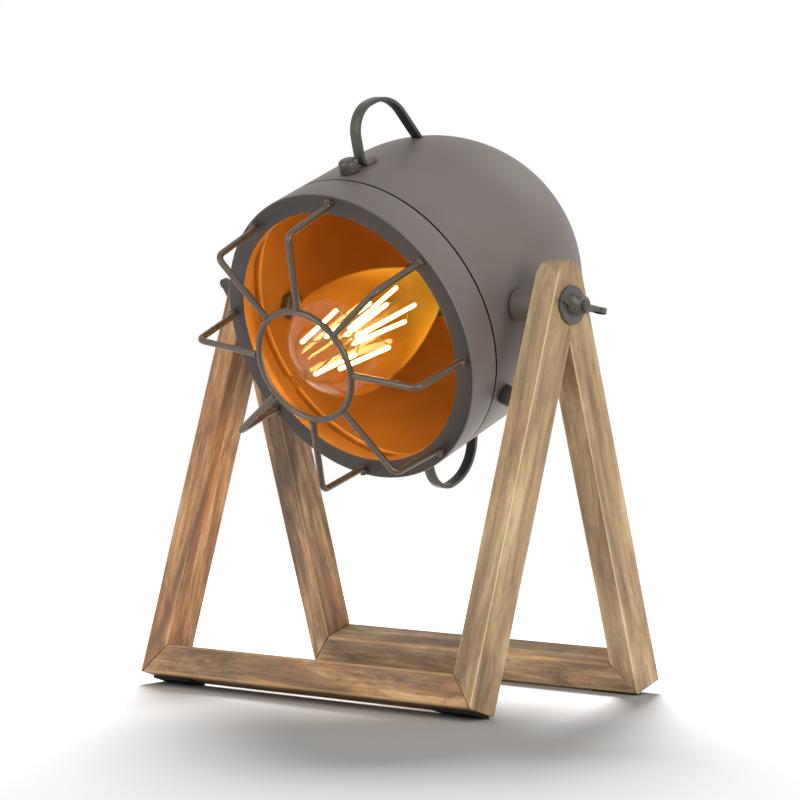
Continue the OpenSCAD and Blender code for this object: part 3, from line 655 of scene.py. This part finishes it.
def radial(turn, s, r):
    """Stands a thing on its own Z axis at a turn from straight up, a place along and a radius."""
    return (Matrix.Rotation(-radians(turn), 4, "Z") @ Matrix.Translation((0, r * MM, s * MM))
            @ Matrix.Rotation(-pi / 2, 4, "X"))


cuts = bmesh.new()
rear_r = dome_r_at(-STRAP_REAR)
slope = atan2(STRAP_REAR - STRAP_BACK, STRAP_R - (rear_r - TAB_IN))
slot_size = (STRAP_W + 2 * AIR, (STRAP_T + 2 * AIR) * 1.25, 9)
for turn in STRAP_TURNS:
    along_strap = radial(turn, -STRAP_REAR + 0.9, rear_r - 0.6) @ Matrix.Rotation(slope, 4, "X")
    cutter_box(cuts, slot_size, along_strap)
for turn in KNOB_TURNS:
    cutter_rod(cuts, SCREW_R + RUN, 8, radial(turn, KNOB_S, SHADE_R - 1))
    cutter_box(cuts, NOTCH, radial(turn, LIP_S - 0.6, inner_r - FLANGE / 2 - 0.31))
for turn in (90, 270):
    cutter_rod(cuts, BOSS_NECK_R + RUN, 8, radial(turn, 0, SHADE_R - 1))
cutter_rod(cuts, TUBE_HOLE_R, 5, Matrix.Translation((0, 0, POLE_S * MM)))
cutter = piece_from("openings", mesh_from(cuts, "openings"))
boolean = shade.modifiers.new("openings", "BOOLEAN")
boolean.operation, boolean.solver, boolean.object = "DIFFERENCE", "EXACT", cutter
plain_mesh(shade)
bpy.data.objects.remove(cutter)
tidy_shell(shade.data)
print("shade cut:", len(shade.data.polygons), "faces")

# %% [markdown]
# Faces that look inward get the copper enamel. The flange's front is black where it shows in
# the seam, a painted shade, and its edge gets a brighter copper, a painted highlight.

# %% Line the shade
def line_inside(mesh, finishes, which):
    """Gives each face one of the finishes, told by its middle in mm and its normal."""
    mesh.materials.clear()
    for material in finishes:
        mesh.materials.append(material)
    for face in mesh.polygons:
        face.material_index = which(face.center / MM, face.normal)


def shade_finish(middle, normal):
    r = hypot(middle.x, middle.y)
    # the flange's front in the seam: black, a painted shade
    if middle.z > LIP_S - 0.3 and r > inner_r + 0.25:
        return 2
    # the flange's inner edge: a brighter copper, a painted highlight
    if middle.z > LIP_S - WALL - 0.1 and r < inner_r:
        return 3
    behind = max(0.0, (DOME_S - middle.z) / (DOME_L - WALL / 2))
    return int((r / (SHADE_R - WALL / 2)) ** 2 + behind ** 2 < 1)


line_inside(shade.data, (outer_enamel, copper_enamel, seam_painted_shade_black, painted_highlight_copper), shade_finish)
shade.data.transform(SHADE)
finish_piece(shade, "shade", "shade_paint", "shade_shell")
print("shade lined with", [m.name for m in shade.data.materials])

# %% [markdown]
# ## The front ring
# The ring is pressed from the same sheet: a skirt that continues the barrel, a rounded
# corner, a flat face and a return that turns back into the shade. A lip at the skirt's rear
# edge lies before the shade's flange and keeps light out of the seam. Skirt, face and lining
# are three finishes of one piece. The face's darker enamel is a painted shade, and the black
# on the lip and the skirt's rear edge is a painted shade in the seam.

# %% Press the front ring
SEAM_S, FACE_S, FACE_R, RETURN = 26.7, 49.2, 76.5, 6.5
ring_section = (
    arc((SHADE_R - 0.4, SEAM_S + 0.4), 0.4, -90, 0, 4) + [(SHADE_R, 38)]
    + arc((SHADE_R - 1.5, FACE_S - 1.5), 1.5, 0, 90, 8)
    + arc((FACE_R + 0.7, FACE_S - 0.7), 0.7, 90, 180, 5) + [(FACE_R, FACE_S - RETURN)]
    + [(FACE_R + WALL, FACE_S - RETURN), (FACE_R + WALL, FACE_S - WALL), (inner_r, FACE_S - WALL)]
    + [(inner_r, SEAM_S + 0.15), (inner_r - 2.6, SEAM_S + 0.15), (inner_r - 2.6, LIP_S + 0.1)]
    + [(inner_r + 0.2, LIP_S + 0.1), (inner_r + 0.2, SEAM_S)])
front_ring = turned("pressed_front_ring", ring_section, outer_enamel, Matrix.Identity(4), 144)


def ring_finish(middle, normal):
    r = hypot(middle.x, middle.y)
    # the lip and the skirt's rear edge in the seam: black, a painted shade
    if middle.z < SEAM_S + 0.3 and (normal.z < -0.5 or middle.z < SEAM_S - 0.05 and r > inner_r):
        return 3
    if r > SHADE_R - 1.1 and normal.z < 0.75:
        return 0
    # the flat face gets the darker enamel, a painted shade
    return 1 if middle.z > FACE_S - 0.5 and r > FACE_R + 0.15 else 2


line_inside(front_ring.data, (outer_enamel, face_painted_shade_enamel, copper_enamel, seam_painted_shade_black), ring_finish)
front_ring.data.transform(SHADE)
finish_piece(front_ring, "front_ring", "ring_paint", "bezel_ring")
print("front ring:", len(front_ring.data.polygons), "faces")

# %% [markdown]
# Three tabs welded inside the skirt reach under the knobs, each with a slot that is open to
# the rear, so the ring comes off once the knobs are slack.

# %% Weld on the tabs
TAB_W, TAB_R, TAB_BACK, TAB_FRONT, TAB_CORNER = 10.0, inner_r - AIR, 11.2, 44, 0.8
slot_r, side_x, corner_s = SCREW_R + AIR, TAB_W / 2, TAB_BACK + TAB_CORNER
outline = ([(-side_x, TAB_FRONT), (-side_x, corner_s), (-side_x + TAB_CORNER, TAB_BACK)]
           + [(-slot_r, TAB_BACK)] + [(-x, y) for x, y in arc((0, KNOB_S), slot_r, 0, 180, 12)]
           + [(slot_r, TAB_BACK), (side_x - TAB_CORNER, TAB_BACK), (side_x, corner_s)]
           + [(side_x, TAB_FRONT)])
tab_shape = bmesh.new()
for turn in KNOB_TURNS:
    spin = Matrix.Rotation(-radians(turn), 4, "Z")
    low, top = ([tab_shape.verts.new(spin @ (Vector((x, TAB_R - depth, s)) * MM))
                 for x, s in outline] for depth in (WALL + 0.05, 0.14))
    tab_shape.faces.new(low)
    tab_shape.faces.new(top[::-1])
    for k in range(len(outline)):
        m = (k + 1) % len(outline)
        tab_shape.faces.new((low[k], top[k], top[m], low[m]))
    packing = spin @ Matrix.Translation((0, (TAB_R - 0.3) * MM, 36 * MM))
    cutter_box(tab_shape, (TAB_W - 1, 1.4, 12), packing)
bmesh.ops.recalc_face_normals(tab_shape, faces=tab_shape.faces)
tab_mesh = mesh_from(tab_shape, "ring_tabs")
tab_mesh.transform(SHADE)
tabs = piece_from("welded_ring_tabs", tab_mesh, (copper_enamel,))
finish_piece(tabs, "front_ring", "ring_paint", "ring_tabs")
print("tabs:", len(KNOB_TURNS))

# %% [markdown]
# ## The cage
# Eight wires are bent on one jig: a foot welded to the ring's face, a run forward, and a run
# inward to the middle ring. The piece's own mesh is one wire's middle line, which the tree
# sweeps with a circle and sets round the axis with a weld bead at either end. Each was welded
# on by hand and strays a degree or so; the strays ride along as an attribute of the line.

# %% A tree for the wires
def swept_round(tree, line, radius, sides):
    """Sweeps the edges of a mesh with a circle, and closes the ends."""
    curve = add_node(tree, "GeometryNodeMeshToCurve", {"Mesh": line})
    circle = add_node(tree, "GeometryNodeCurvePrimitiveCircle", {
        "Resolution": sides, "Radius": radius})
    return add_node(tree, "GeometryNodeCurveToMesh", {
        "Curve": curve.outputs[0], "Profile Curve": circle.outputs[0], "Fill Caps": True})


def joined(tree, *parts):
    join = add_node(tree, "GeometryNodeJoinGeometry")
    for part in parts:
        tree.links.new(part.outputs[0], join.inputs[0])
    return join.outputs[0]


def wires_tree():
    tree, given = node_group("wires_round_an_axis", "Middle line", (
        ("Wire radius", "Float", 0.0019), ("Sides", "Int", 24), ("Wires", "Int", 8),
        ("First turn", "Float", 0.0), ("Bead radius", "Float", 0.001),
        ("Foot", "Vector", (0, 0.08, 0)), ("Joint", "Vector", (0, 0.03, 0))))
    wire = swept_round(tree, given["Middle line"], given["Wire radius"], given["Sides"])
    bead = add_node(tree, "GeometryNodeMeshUVSphere", {
        "Segments": 16, "Rings": 10, "Radius": given["Bead radius"]})
    beads = [add_node(tree, "GeometryNodeTransform", {
        "Geometry": bead.outputs["Mesh"], "Translation": given[where], "Scale": (2.1, 1.0, 1.0)})
        for where in ("Foot", "Joint")]
    index = add_node(tree, "GeometryNodeInputIndex").outputs[0]
    stray = add_node(tree, "GeometryNodeInputNamedAttribute", {"Name": "stray"})
    own_stray = add_node(tree, "GeometryNodeSampleIndex", {
        "Geometry": given["Middle line"], "Index": index, "Value": stray.outputs[0]})
    even = calc(tree, "MULTIPLY_ADD", index, calc(tree, "DIVIDE", -tau, given["Wires"]),
                given["First turn"])
    turn = calc(tree, "ADD", even, own_stray.outputs[0])
    points = add_node(tree, "GeometryNodePoints", {"Count": given["Wires"]})
    spun = add_node(tree, "GeometryNodeInstanceOnPoints", {
        "Points": points.outputs[0], "Instance": joined(tree, wire, *beads),
        "Rotation": add_node(tree, "ShaderNodeCombineXYZ", {2: turn}).outputs[0]})
    return end_group(tree, spun.outputs[0], given["Material"])


WIRES = wires_tree()
print("wire nodes:", len(WIRES.nodes))

# %% Bend the cage
def rounded_path(corners, bends, steps=8):
    """Points of a flat path, in mm, with every inner corner rounded by its bend radius."""
    points = [Vector(corners[0])]
    for k in range(1, len(corners) - 1):
        here = Vector(corners[k])
        before, after = ((Vector(corners[m]) - here).normalized() for m in (k - 1, k + 1))
        half = before.angle(after) / 2
        middle = here + (before + after).normalized() * bends[k] / sin(half)
        first, last = (here + way * bends[k] / tan(half) for way in (before, after))
        start = first - middle
        sweep = start.angle_signed(last - middle)
        for m in range(steps + 1):
            turn = -sweep * m / steps
            points.append(middle + Vector((start.x * cos(turn) - start.y * sin(turn),
                                           start.x * sin(turn) + start.y * cos(turn))))
    return points + [Vector(corners[-1])]


WIRE_R, WIRE_TURN, RING_R, CAGE_S = 1.9, 10.5, 33.0, 88.0
STRAYS = (0.2, 1, -1.4, -0.5, -0.7, 1.9, 0.6, 1.3)  # each wire's turn from its even place
FOOT_R, FOOT_L, WIRE_S = 82.25, 3.8, FACE_S + WIRE_R + RUN
wire_line = rounded_path([(FOOT_R + FOOT_L, WIRE_S), (FOOT_R, WIRE_S), (FOOT_R - 3, CAGE_S),
                          (RING_R + WIRE_R + RUN, CAGE_S)], [0, 2.3, 5, 0])
line_mesh = bpy.data.meshes.new("cage_wires")
line_mesh.from_pydata([(0, p.x * MM, p.y * MM) for p in wire_line],
                      [(k, k + 1) for k in range(len(wire_line) - 1)], [])
strays = line_mesh.attributes.new("stray", "FLOAT", "POINT")
for k, stray in enumerate(STRAYS):
    strays.data[k].value = -radians(stray)
cage = run_tree(piece_from("cage_wires", line_mesh), WIRES, {
    "Wire radius": WIRE_R * MM, "Wires": len(STRAYS), "First turn": -radians(WIRE_TURN),
    "Bead radius": 1.1 * MM, "Foot": (0, (FOOT_R + FOOT_L - 1.6) * MM, (FACE_S + 0.5) * MM),
    "Joint": (0, (RING_R + WIRE_R) * MM, CAGE_S * MM), "Material": dark_wire})
tidy_shell(cage.data, 60)
cage.data.transform(SHADE)
finish_piece(cage, "front_ring", "wire_iron", *(f"grille_wire_{k}" for k in range(1, 9)))
middle_ring = turned("cage_middle_ring", arc((RING_R, CAGE_S), WIRE_R, 0, 345, 23), dark_wire)
finish_piece(middle_ring, "front_ring", "wire_iron", "grille_ring")
print("cage:", len(cage.data.polygons), "faces")

# %% [markdown]
# ## The handles
# Each handle is a strip of flat steel, bent into a loop. Its front foot lies on the barrel
# and its rear foot goes through a slot in the dome and is bent over inside. A rounded
# rectangle swept along the bent middle line gives its rolled edges. The front foot is welded
# on before the enamel, so it takes the shade's colour. The inside of the loop is darker, a
# painted shade.

# %% Bend the handles
STRAP_FRONT, STRAP_RAKE, STRAP_FOOT, STRAP_BEND, STRAP_BEND_BACK = 5.8, 2.0, 11.0, 16.0, 26.0
LOOP_MIDDLE = Vector((0, 100, -22))


def strap_finish(middle, normal):
    on_foot = STRAP_FRONT - STRAP_FOOT - 1 < middle.z < STRAP_FRONT - 2
    if on_foot and middle.y < SHADE_R + STRAP_T + 0.4:
        return 2
    # the inside of the loop gets the darker steel, a painted shade
    inward = (LOOP_MIDDLE - middle).normalized().dot(normal) > 0.5
    return int(inward and middle.z < -10)


def swept_strip(name, path_mm, width, thick, turn, materials, soft=0.45):
    """A flat strip with edges rounded by soft, bent along a path; strap_finish paints it."""
    section = []
    for cx, cy, start in ((1, 1, 0), (-1, 1, 90), (-1, -1, 180), (1, -1, 270)):
        section += arc((cx * (thick / 2 - soft), cy * (width / 2 - soft)), soft, start,
                       start + 90, 3)
    shape = bmesh.new()
    rings = []
    for k, p in enumerate(path_mm):
        ahead = path_mm[min(k + 1, len(path_mm) - 1)] - path_mm[max(k - 1, 0)]
        ahead.normalize()
        out = Vector((ahead.y, -ahead.x))
        rings.append([shape.verts.new(Vector((y, p.x + out.x * x, p.y + out.y * x)) * MM)
                      for x, y in section])
    for a, b in zip(rings, rings[1:]):
        for k in range(len(section)):
            m = (k + 1) % len(section)
            shape.faces.new((a[k], a[m], b[m], b[k]))
    shape.faces.new(rings[0][::-1])
    shape.faces.new(rings[-1])
    mesh = mesh_from(shape, name)
    tidy_shell(mesh, 45)
    piece = piece_from(name, mesh)
    line_inside(mesh, materials, strap_finish)
    mesh.transform(SHADE @ Matrix.Rotation(-radians(turn), 4, "Z"))
    return piece


strap_on, tab_s = SHADE_R + 0.1 + STRAP_T / 2, -STRAP_REAR - STRAP_TAB
strap_line = rounded_path(
    [(strap_on, STRAP_FRONT - STRAP_FOOT), (strap_on, STRAP_FRONT),
     (STRAP_R, STRAP_FRONT - STRAP_RAKE), (STRAP_R, -STRAP_BACK),
     (rear_r - TAB_IN, -STRAP_REAR), (dome_r_at(tab_s) - TAB_IN, tab_s)],
    [0, 3.5, STRAP_BEND, STRAP_BEND_BACK, 3.5, 0], 12)
for name, turn in zip(("top_handle", "bottom_handle"), STRAP_TURNS):
    strap = swept_strip(f"{name}_strap", strap_line, STRAP_W, STRAP_T, turn,
                        (blackened_steel, loop_inside_painted_shade_steel, outer_enamel))
    finish_piece(strap, "shade", "handle_iron", name)
print("handle path points:", len(strap_line))

# %% [markdown]
# ## Knobs and studs
# A knob is a turned head on a screw, and a stud is a length of threaded rod. Both are turned
# on the lathe of nodes, this time with its thread switched on. The section needs several
# points to a pitch, or the thread would be lost between them.

# %% Turn the knobs
KNOB_R, KNOB_H, KNOB_ROUND, KNOB_STEP = 5.8, 8.0, 3.0, 0.22
knob_foot = SHADE_R + AIR
screw_end = inner_r - AIR - WALL - AIR - 3.2 - 2
screw_points = int((knob_foot - screw_end - 0.9) / KNOB_STEP)
knob_section = (
    [(0, screw_end), (1.5, screw_end)]
    + [(2, screw_end + 0.5 + KNOB_STEP * k) for k in range(screw_points)]
    + [(2, knob_foot)] + arc((KNOB_R - 0.5, knob_foot + 0.5), 0.5, -90, 0, 4)
    + arc((KNOB_R - KNOB_ROUND, knob_foot + KNOB_H - KNOB_ROUND), KNOB_ROUND, 0, 90, 8)
    + [(1.5, knob_foot + KNOB_H - 0.03), (0, knob_foot + KNOB_H)])
for (name, body), turn in zip((("top_knob", "knob_above"), ("right_knob", "knob_right"),
                               ("left_knob", "knob_left")), KNOB_TURNS):
    knob = turned(f"{name}_turned", knob_section, blackened_steel,
                  SHADE @ radial(turn, KNOB_S, 0), 48, False,
                  (0.16, 0.7, screw_end, knob_foot - 2.6))
    finish_piece(knob, body, "hardware_iron", name)
print("knob section points:", len(knob_section))

# %% Thread the studs
STUD_R, STUD_END, STUD_STEP = 3.0, 0.6, 0.25
for side, sign in (("left", -1), ("right", 1)):
    node = f"{side}_pivot_stud"
    low, high = sorted(abs(corner.x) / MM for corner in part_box(node))
    stud_points = int((high - low - 2 * STUD_END) / STUD_STEP) + 1
    stud_section = ([(0, low), (STUD_R - STUD_END, low)]
                    + [(STUD_R - 0.02, low + STUD_END + STUD_STEP * k) for k in range(stud_points)]
                    + [(STUD_R - STUD_END, high), (0, high)])
    stand_up = Matrix.Translation(PIVOT) @ Matrix.Rotation(sign * pi / 2, 4, "Y")
    stud = turned(f"{side}_stud_threaded", stud_section, blackened_steel, stand_up, 40, False,
                  (0.18, 1.0, low + 12, high - 0.4))
    finish_piece(stud, "shade", "hardware_iron", node)
    print(node, "from", round(low, 1), "to", round(high, 1), "mm from the middle")

# %% [markdown]
# ## The bulb
# The glass is blown into a mould with a broad front and a waist that runs down to the cap.
# Its section is a smooth curve, out along the outside and back along the inside, one
# millimetre thinner. The cap is rolled brass with a round-bottomed thread, and its end
# contact sits in black glass.

# %% Blow the glass
TIP_S = FACE_S + 35.0
NOSE_L, BULB_L = 34.0, 142.0
WIDE_S, CONTACT_S = TIP_S - NOSE_L, TIP_S - BULB_L
CAP_S, CAP_R, BULB_R, GLASS = CONTACT_S + 27.0, 13.2, 33.0, 1.0
NECK_R, NECK_IN, FULL = CAP_R - 0.5 - 0.2, 7.0, 0.65


def glass_line(inset, steps=44):
    swell = [(1 - cos(pi * (k / steps) ** FULL)) / 2 for k in range(steps + 1)]
    side = [(NECK_R + (BULB_R - NECK_R) * w - inset, CAP_S + (WIDE_S - CAP_S) * k / steps)
            for k, w in enumerate(swell)]
    nose = [((BULB_R - inset) * cos(radians(a)),
             WIDE_S + (NOSE_L - inset) * sin(radians(a))) for a in range(3, 90, 3)]
    return [(NECK_R - inset, CAP_S - NECK_IN)] + side + nose + [(0, WIDE_S + NOSE_L - inset)]


glass = turned("blown_glass", glass_line(0) + glass_line(GLASS)[::-1], amber_glass)
finish_piece(glass, "bulb", "bulb_glass", "bulb_glass")
print("glass:", len(glass.data.polygons), "faces")

# %% Roll the cap
SHEET = 0.38  # mm of brass
cap_low, cap_high = CONTACT_S + 2.4, CAP_S
cap_out = [(CAP_R - 0.32, cap_low + 0.3 + (cap_high - cap_low - 0.6) * k / 90) for k in range(91)]
cap_in = [(r - SHEET, s) for r, s in cap_out[::-1]]
cap_section = ([(5, cap_low - 0.3), (CAP_R - 1.5, cap_low - 0.3)] + cap_out + cap_in
               + [(5, cap_low + 0.5)])
cap = turned("rolled_cap", cap_section, turned_brass, steps=72,
             thread=(0.32, 3.6, cap_low + 1.5, cap_high - 3.5))
finish_piece(cap, "bulb", "cap_brass", "bulb_cap")
for node, material, slot in (("bulb_contact", bakelite, "contact_black"),
                             ("bulb_stem", clear_glass, "stem_glass"),
                             ("bulb_supports", dark_wire, "wire_iron")):
    finish_piece(softened(node, f"{node}_made", (material,), 0, 1, False), "bulb", slot, node)
print("cap:", len(cap.data.polygons), "faces")

# %% [markdown]
# ## The glowing sticks
# A stick is a string of tiny lamps under a yellow coat, round at both ends. Eight of them
# stand in two tiers that open out toward the cap. The piece's own mesh holds one edge for
# each stick; the tree sweeps the edges with a circle and sets a ball on every end. Their glow
# is what lights the copper.

# %% Place the sticks
def sticks_tree():
    tree, given = node_group("sticks_from_edges", "Edges", (("Radius", "Float", 0.0011),))
    rods = swept_round(tree, given["Edges"], given["Radius"], 20)
    ball = add_node(tree, "GeometryNodeMeshUVSphere", {
        "Segments": 20, "Rings": 12, "Radius": given["Radius"]})
    ends = add_node(tree, "GeometryNodeInstanceOnPoints", {
        "Points": given["Edges"], "Instance": ball.outputs["Mesh"]})
    return end_group(tree, joined(tree, rods, ends), given["Material"])


def at_turn(turn, r, s):
    """A point of the shade's own space: a turn from straight up, a radius, a place along."""
    return Vector((r * sin(radians(turn)), r * cos(radians(turn)), s)) * MM


STICK_R, STICKS = 1.1, 4  # radius in mm, and sticks in a tier
# each tier's first turn, then the radius and the place along of its front and rear ends
TIERS = ((-55, 14.0, TIP_S - 10, 20.0, TIP_S - 50), (1, 4.5, TIP_S - 38, 10.8, CAP_S + 28.4))
stick_ends = []
for first, front_r, front_s, back_r, back_s in TIERS:
    for k in range(STICKS):
        turn = first + 360 * k / STICKS
        a, b = at_turn(turn, front_r, front_s), at_turn(turn, back_r, back_s)
        soft = (b - a).normalized() * STICK_R * MM
        stick_ends += [a + soft, b - soft]
edges = bpy.data.meshes.new("glow_sticks")
edges.from_pydata(stick_ends, [(k, k + 1) for k in range(0, len(stick_ends), 2)], [])
sticks = run_tree(piece_from("glow_sticks", edges), sticks_tree(), {
    "Radius": STICK_R * MM, "Material": glow})
tidy_shell(sticks.data, 60)
sticks.data.transform(SHADE)
finish_piece(sticks, "bulb", "glow", "bulb_filaments")
print("sticks:", len(stick_ends) // 2)

# %% [markdown]
# ## The lampholder
# Behind the bulb sits an ordinary screw holder: a black moulded body with a rounded back, a
# brass screw shell, a steatite base with its contact, and a hollow threaded tube that carries
# it and brings in the cable through a gland.

# %% Make the holder
HOLDER_FRONT, HOLDER_L = CAP_S - 1.0, 42.0
HOLDER_BACK = HOLDER_FRONT - HOLDER_L
body_section = (
    [(13, HOLDER_BACK), (19, HOLDER_BACK)] + arc((19.2, HOLDER_BACK + 0.8), 0.8, -90, 0, 4)
    + [(20, HOLDER_BACK + 8), (19.6, HOLDER_BACK + 8.4), (19.6, HOLDER_BACK + 9.6)]
    + [(20, HOLDER_BACK + 10)] + arc((19.2, HOLDER_FRONT - 0.8), 0.8, 0, 90, 4)
    + arc((17.2, HOLDER_FRONT - 0.6), 0.6, 90, 180, 4)
    + [(16.6, HOLDER_BACK + 3), (13, HOLDER_BACK + 3)])
holder = turned("moulded_holder_body", body_section, bakelite, steps=72)
finish_piece(holder, "shade", "holder_black", "holder_body")
for node, material, slot, width in (
        ("holder_cap", bakelite, "holder_black", 0.3),
        ("holder_insert", steatite, "porcelain", 0.3),
        ("holder_contact", turned_brass, "brass", 0.3),
        ("holder_nipple", turned_brass, "brass", 0.2),
        ("holder_screw_shell", turned_brass, "brass", 0.1),
        ("cable_gland", bakelite, "gland_black", 0.3)):
    finish_piece(softened(node, f"{node}_made", (material,), width, 1, False), "shade", slot, node)
print("holder:", len(holder.data.polygons), "faces")

# %% [markdown]
# ## Floor and backdrop
# The floor is a wide sheet of paper, and the world is white where the camera sees it,
# straight or in something shiny or clear. To all else the world is an even surround of a
# plain level. Close by, the sheet keeps the lamp's shadow. Further out it fades to a white of
# its own, so no edge shows.

# %% Paper and surround
WORLD_LEVEL, FLOOR_HALF = 0.58, 15.0
SHEET_NEAR, SHEET_FAR = 0.42, 1.1  # metres over which the paper turns white


def looked_at(tree):
    """1 for what is seen, straight or by reflection or through glass, and 0 for what lights."""
    ray = add_node(tree, "ShaderNodeLightPath").outputs
    seen = calc(tree, "MAXIMUM", ray["Is Camera Ray"], ray["Is Glossy Ray"])
    return calc(tree, "MAXIMUM", seen, ray["Is Transmission Ray"])


floor_mesh = bpy.data.meshes.new("paper_floor")
floor_mesh.from_pydata([(x * FLOOR_HALF, y * FLOOR_HALF, 0)
                        for x, y in ((-1, -1), (1, -1), (1, 1), (-1, 1))], [], [(0, 1, 2, 3)])
paper, tree = new_material("pale_paper")
away = add_node(tree, "ShaderNodeVectorMath", {0: object_place(tree)}, operation="LENGTH")
far = ranged(tree, away.outputs["Value"], (SHEET_NEAR, SHEET_FAR), (0.0, 1.0), smooth=True)
sheet = add_node(tree, "ShaderNodeBsdfDiffuse", {"Color": srgb("#c4c4c4")})
own_white = add_node(tree, "ShaderNodeEmission", {"Color": (1, 1, 1, 1), "Strength": 1.0})
shaded(tree, "ShaderNodeMixShader", {
    0: calc(tree, "MULTIPLY", looked_at(tree), far), 1: sheet.outputs[0], 2: own_white.outputs[0]})
floor = piece_from("paper_floor", floor_mesh, (paper,))

world = bpy.data.worlds.new("white_surround")
scene.world = world
world.use_nodes = True
sky = world.node_tree
sky.nodes.clear()
surround = add_node(sky, "ShaderNodeBackground", {
    "Color": (1, 1, 1, 1), "Strength": ranged(sky, looked_at(sky), (0, 1), (WORLD_LEVEL, 1.0))})
add_node(sky, "ShaderNodeOutputWorld", {"Surface": surround.outputs[0]})
print("floor", 2 * FLOOR_HALF, "m wide, surround at", WORLD_LEVEL)

# %% [markdown]
# ## Light
# Three broad lamps light the object and leave the floor alone, set so that a colour comes out
# about as it is written. The bulb adds its own warm light. A fourth lamp, behind the object,
# is linked to the floor only: it whitens the sheet and throws the soft shadow forward.

# %% Lamps
def soft_lamp(name, place, aim, size, power):
    data = bpy.data.lights.new(name, "AREA")
    data.shape, data.size, data.energy = "DISK", size, power
    lamp = bpy.data.objects.new(name, data)
    lamp.location = place
    lamp.rotation_euler = (Vector(aim) - Vector(place)).to_track_quat("-Z", "Y").to_euler()
    scene.collection.objects.link(lamp)
    return lamp


all_but_floor, only_floor = (bpy.data.collections.new(name)
                             for name in ("all_but_the_floor", "only_the_floor"))
for group in (all_but_floor, only_floor):
    group.objects.link(floor)
all_but_floor.collection_objects[0].light_linking.link_state = "EXCLUDE"
for name, place, aim, size, power, lit in (
        ("key_lamp", (-0.5, -1.9, 0.6), (0, 0, 0.18), 0.9, 11, all_but_floor),
        ("side_lamp", (1.8, -0.6, 0.4), (0, 0, 0.18), 0.9, 15, all_but_floor),
        ("rim_lamp", (0.2, 1.2, 1.4), (0, 0, 0.1), 1.0, 4, all_but_floor),
        ("floor_lamp", (-0.6, 0.7, 1.15), (0.1, -0.15, 0), 0.6, 60, only_floor)):
    soft_lamp(name, place, aim, size, power).light_linking.receiver_collection = lit
    print(name, power, "W")
scene.view_settings.view_transform = "Standard"
